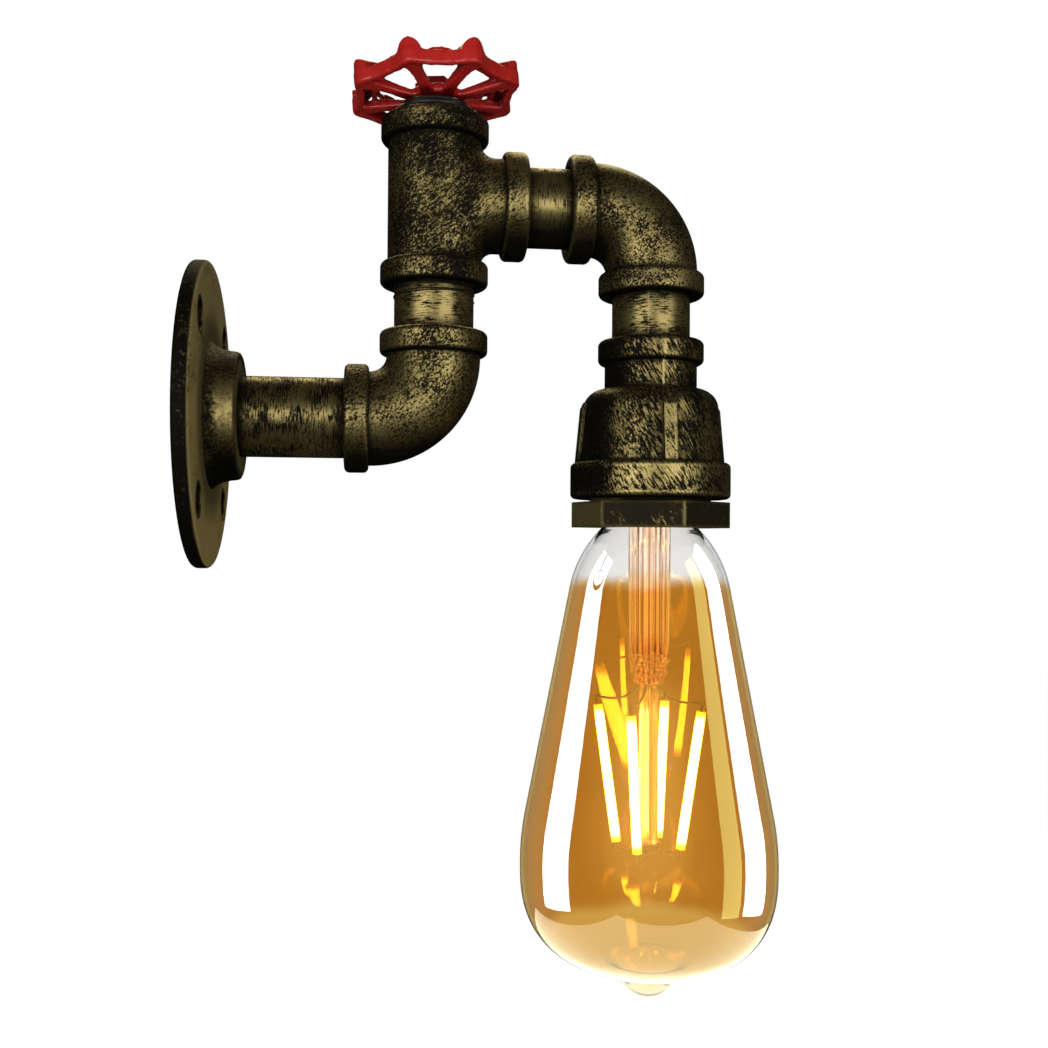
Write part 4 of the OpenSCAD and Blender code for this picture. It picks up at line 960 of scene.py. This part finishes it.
# Strands: bent rods set at even steps round the axis of the bulb. The sticks follow this rule, and so do
# the wires that carry them.
strands, strand_in = shape_rule("strands", {
    "Start": (0.0, 0.0, 0.0), "Middle": (0.0, 0.0, 0.0), "End": (0.0, 0.0, 0.01), "Thickness": 0.0005,
    "Count": 4, "Turn": 0.0, "Place": (0.0, 0.0, 0.0),
})
strand_path = place(strands, "GeometryNodeCurveQuadraticBezier", {
    "Resolution": 14, "Start": strand_in["Start"], "Middle": strand_in["Middle"], "End": strand_in["End"],
})
strand_step = math_node(strands, "DIVIDE", math.tau, strand_in["Count"])
strand_angle = times(strands, place(strands, "GeometryNodeInputIndex").outputs[0], strand_step)
strand_angle = math_node(strands, "ADD", strand_angle, strand_in["Turn"])
strand_turn = place(strands, "FunctionNodeEulerToRotation", {
    0: place(strands, "ShaderNodeCombineXYZ", {"Z": strand_angle}).outputs[0],
})
strand_set = place(strands, "GeometryNodeInstanceOnPoints", {
    "Points": place(strands, "GeometryNodePoints", {"Count": strand_in["Count"]}).outputs[0],
    "Instance": sweep_round(strands, strand_path, strand_in["Thickness"], 16),
    "Rotation": strand_turn.outputs[0],
})
close_rule(strands, strand_in, strand_set.outputs[0])

stick_top, stick_low, stick_r = Vector((0.0148, 0.0, -0.0777)), Vector((0.0092, 0.0, -0.1151)), 0.0014
stick_way = (stick_low - stick_top).normalized()
on_drop = dict(Count=4, Turn=math.radians(59.0), Place=(drop_x, 0.0, 0.0))


def strand_mesh(name, material, start, middle, end, thickness):
    """Four strands from start to end, bent towards middle, or straight if it is None."""
    middle = (Vector(start) + Vector(end)) / 2.0 if middle is None else middle
    return follow(
        name, strands, material, Start=tuple(start), Middle=tuple(middle), End=tuple(end),
        Thickness=thickness, **on_drop
    )


def joined(name, meshes):
    """One mesh of several that share a material."""
    whole = bmesh.new()
    for mesh in meshes:
        whole.from_mesh(mesh)
    material = meshes[0].materials[0]
    mesh = bpy.data.meshes.new(name)
    whole.to_mesh(mesh)
    whole.free()
    smooth(mesh)
    mesh.materials.append(material)
    return mesh


stick_mesh = strand_mesh("filament_sticks", glow, stick_top, None, stick_low, stick_r)
sticks = add_piece("filament_sticks", stick_mesh, "bulb", "filament", "led_filaments")
sticks.visible_diffuse = False

wire_thin, tab_thin = 0.00034, 0.00050
arm_from, arm_sag, hook = (0.0022, 0.0, -0.0712), (0.0062, 0.0, -0.0772), Vector((0.0152, 0.0, -0.0752))
hook_out, hook_end = hook + Vector((0.0008, 0.0, -0.0006)), stick_top - stick_way * 0.0009
tab_from, tab_to = stick_top - stick_way * 0.0012, stick_top + stick_way * 0.0004
upper_parts = [
    strand_mesh("arm", bare_wire, arm_from, arm_sag, hook, wire_thin),
    strand_mesh("hook", bare_wire, hook, hook_out, hook_end, wire_thin),
    strand_mesh("top_tab", bare_wire, tab_from, None, tab_to, tab_thin),
]
add_piece("upper_arms", joined("upper_arms", upper_parts), "bulb", "wire", "upper_wires")

coil_r, coil_z = 0.0031, -0.1172
pin_from, pin_foot, pin_thin = stick_low - stick_way * 0.0004, stick_low + stick_way * 0.0030, tab_thin * 0.8
tie_from, tie_sag = pin_foot - stick_way * 0.0012, (0.006, 0.0, coil_z)
tie_to = (coil_r, 0.0, coil_z + 0.0008)
coil = dict(Radius=coil_r, Ridge=0.00042, Pitch=0.00090, Turns=3.4, Place=(drop_x, 0.0, coil_z))
lower_parts = [
    strand_mesh("pin", bare_wire, pin_from, None, pin_foot, pin_thin),
    strand_mesh("tie", bare_wire, tie_from, tie_sag, tie_to, wire_thin),
    follow("foot_coil", pipe_thread, bare_wire, **coil),
]
add_piece("lower_ties", joined("lower_ties", lower_parts), "bulb", "wire", "lower_wires")
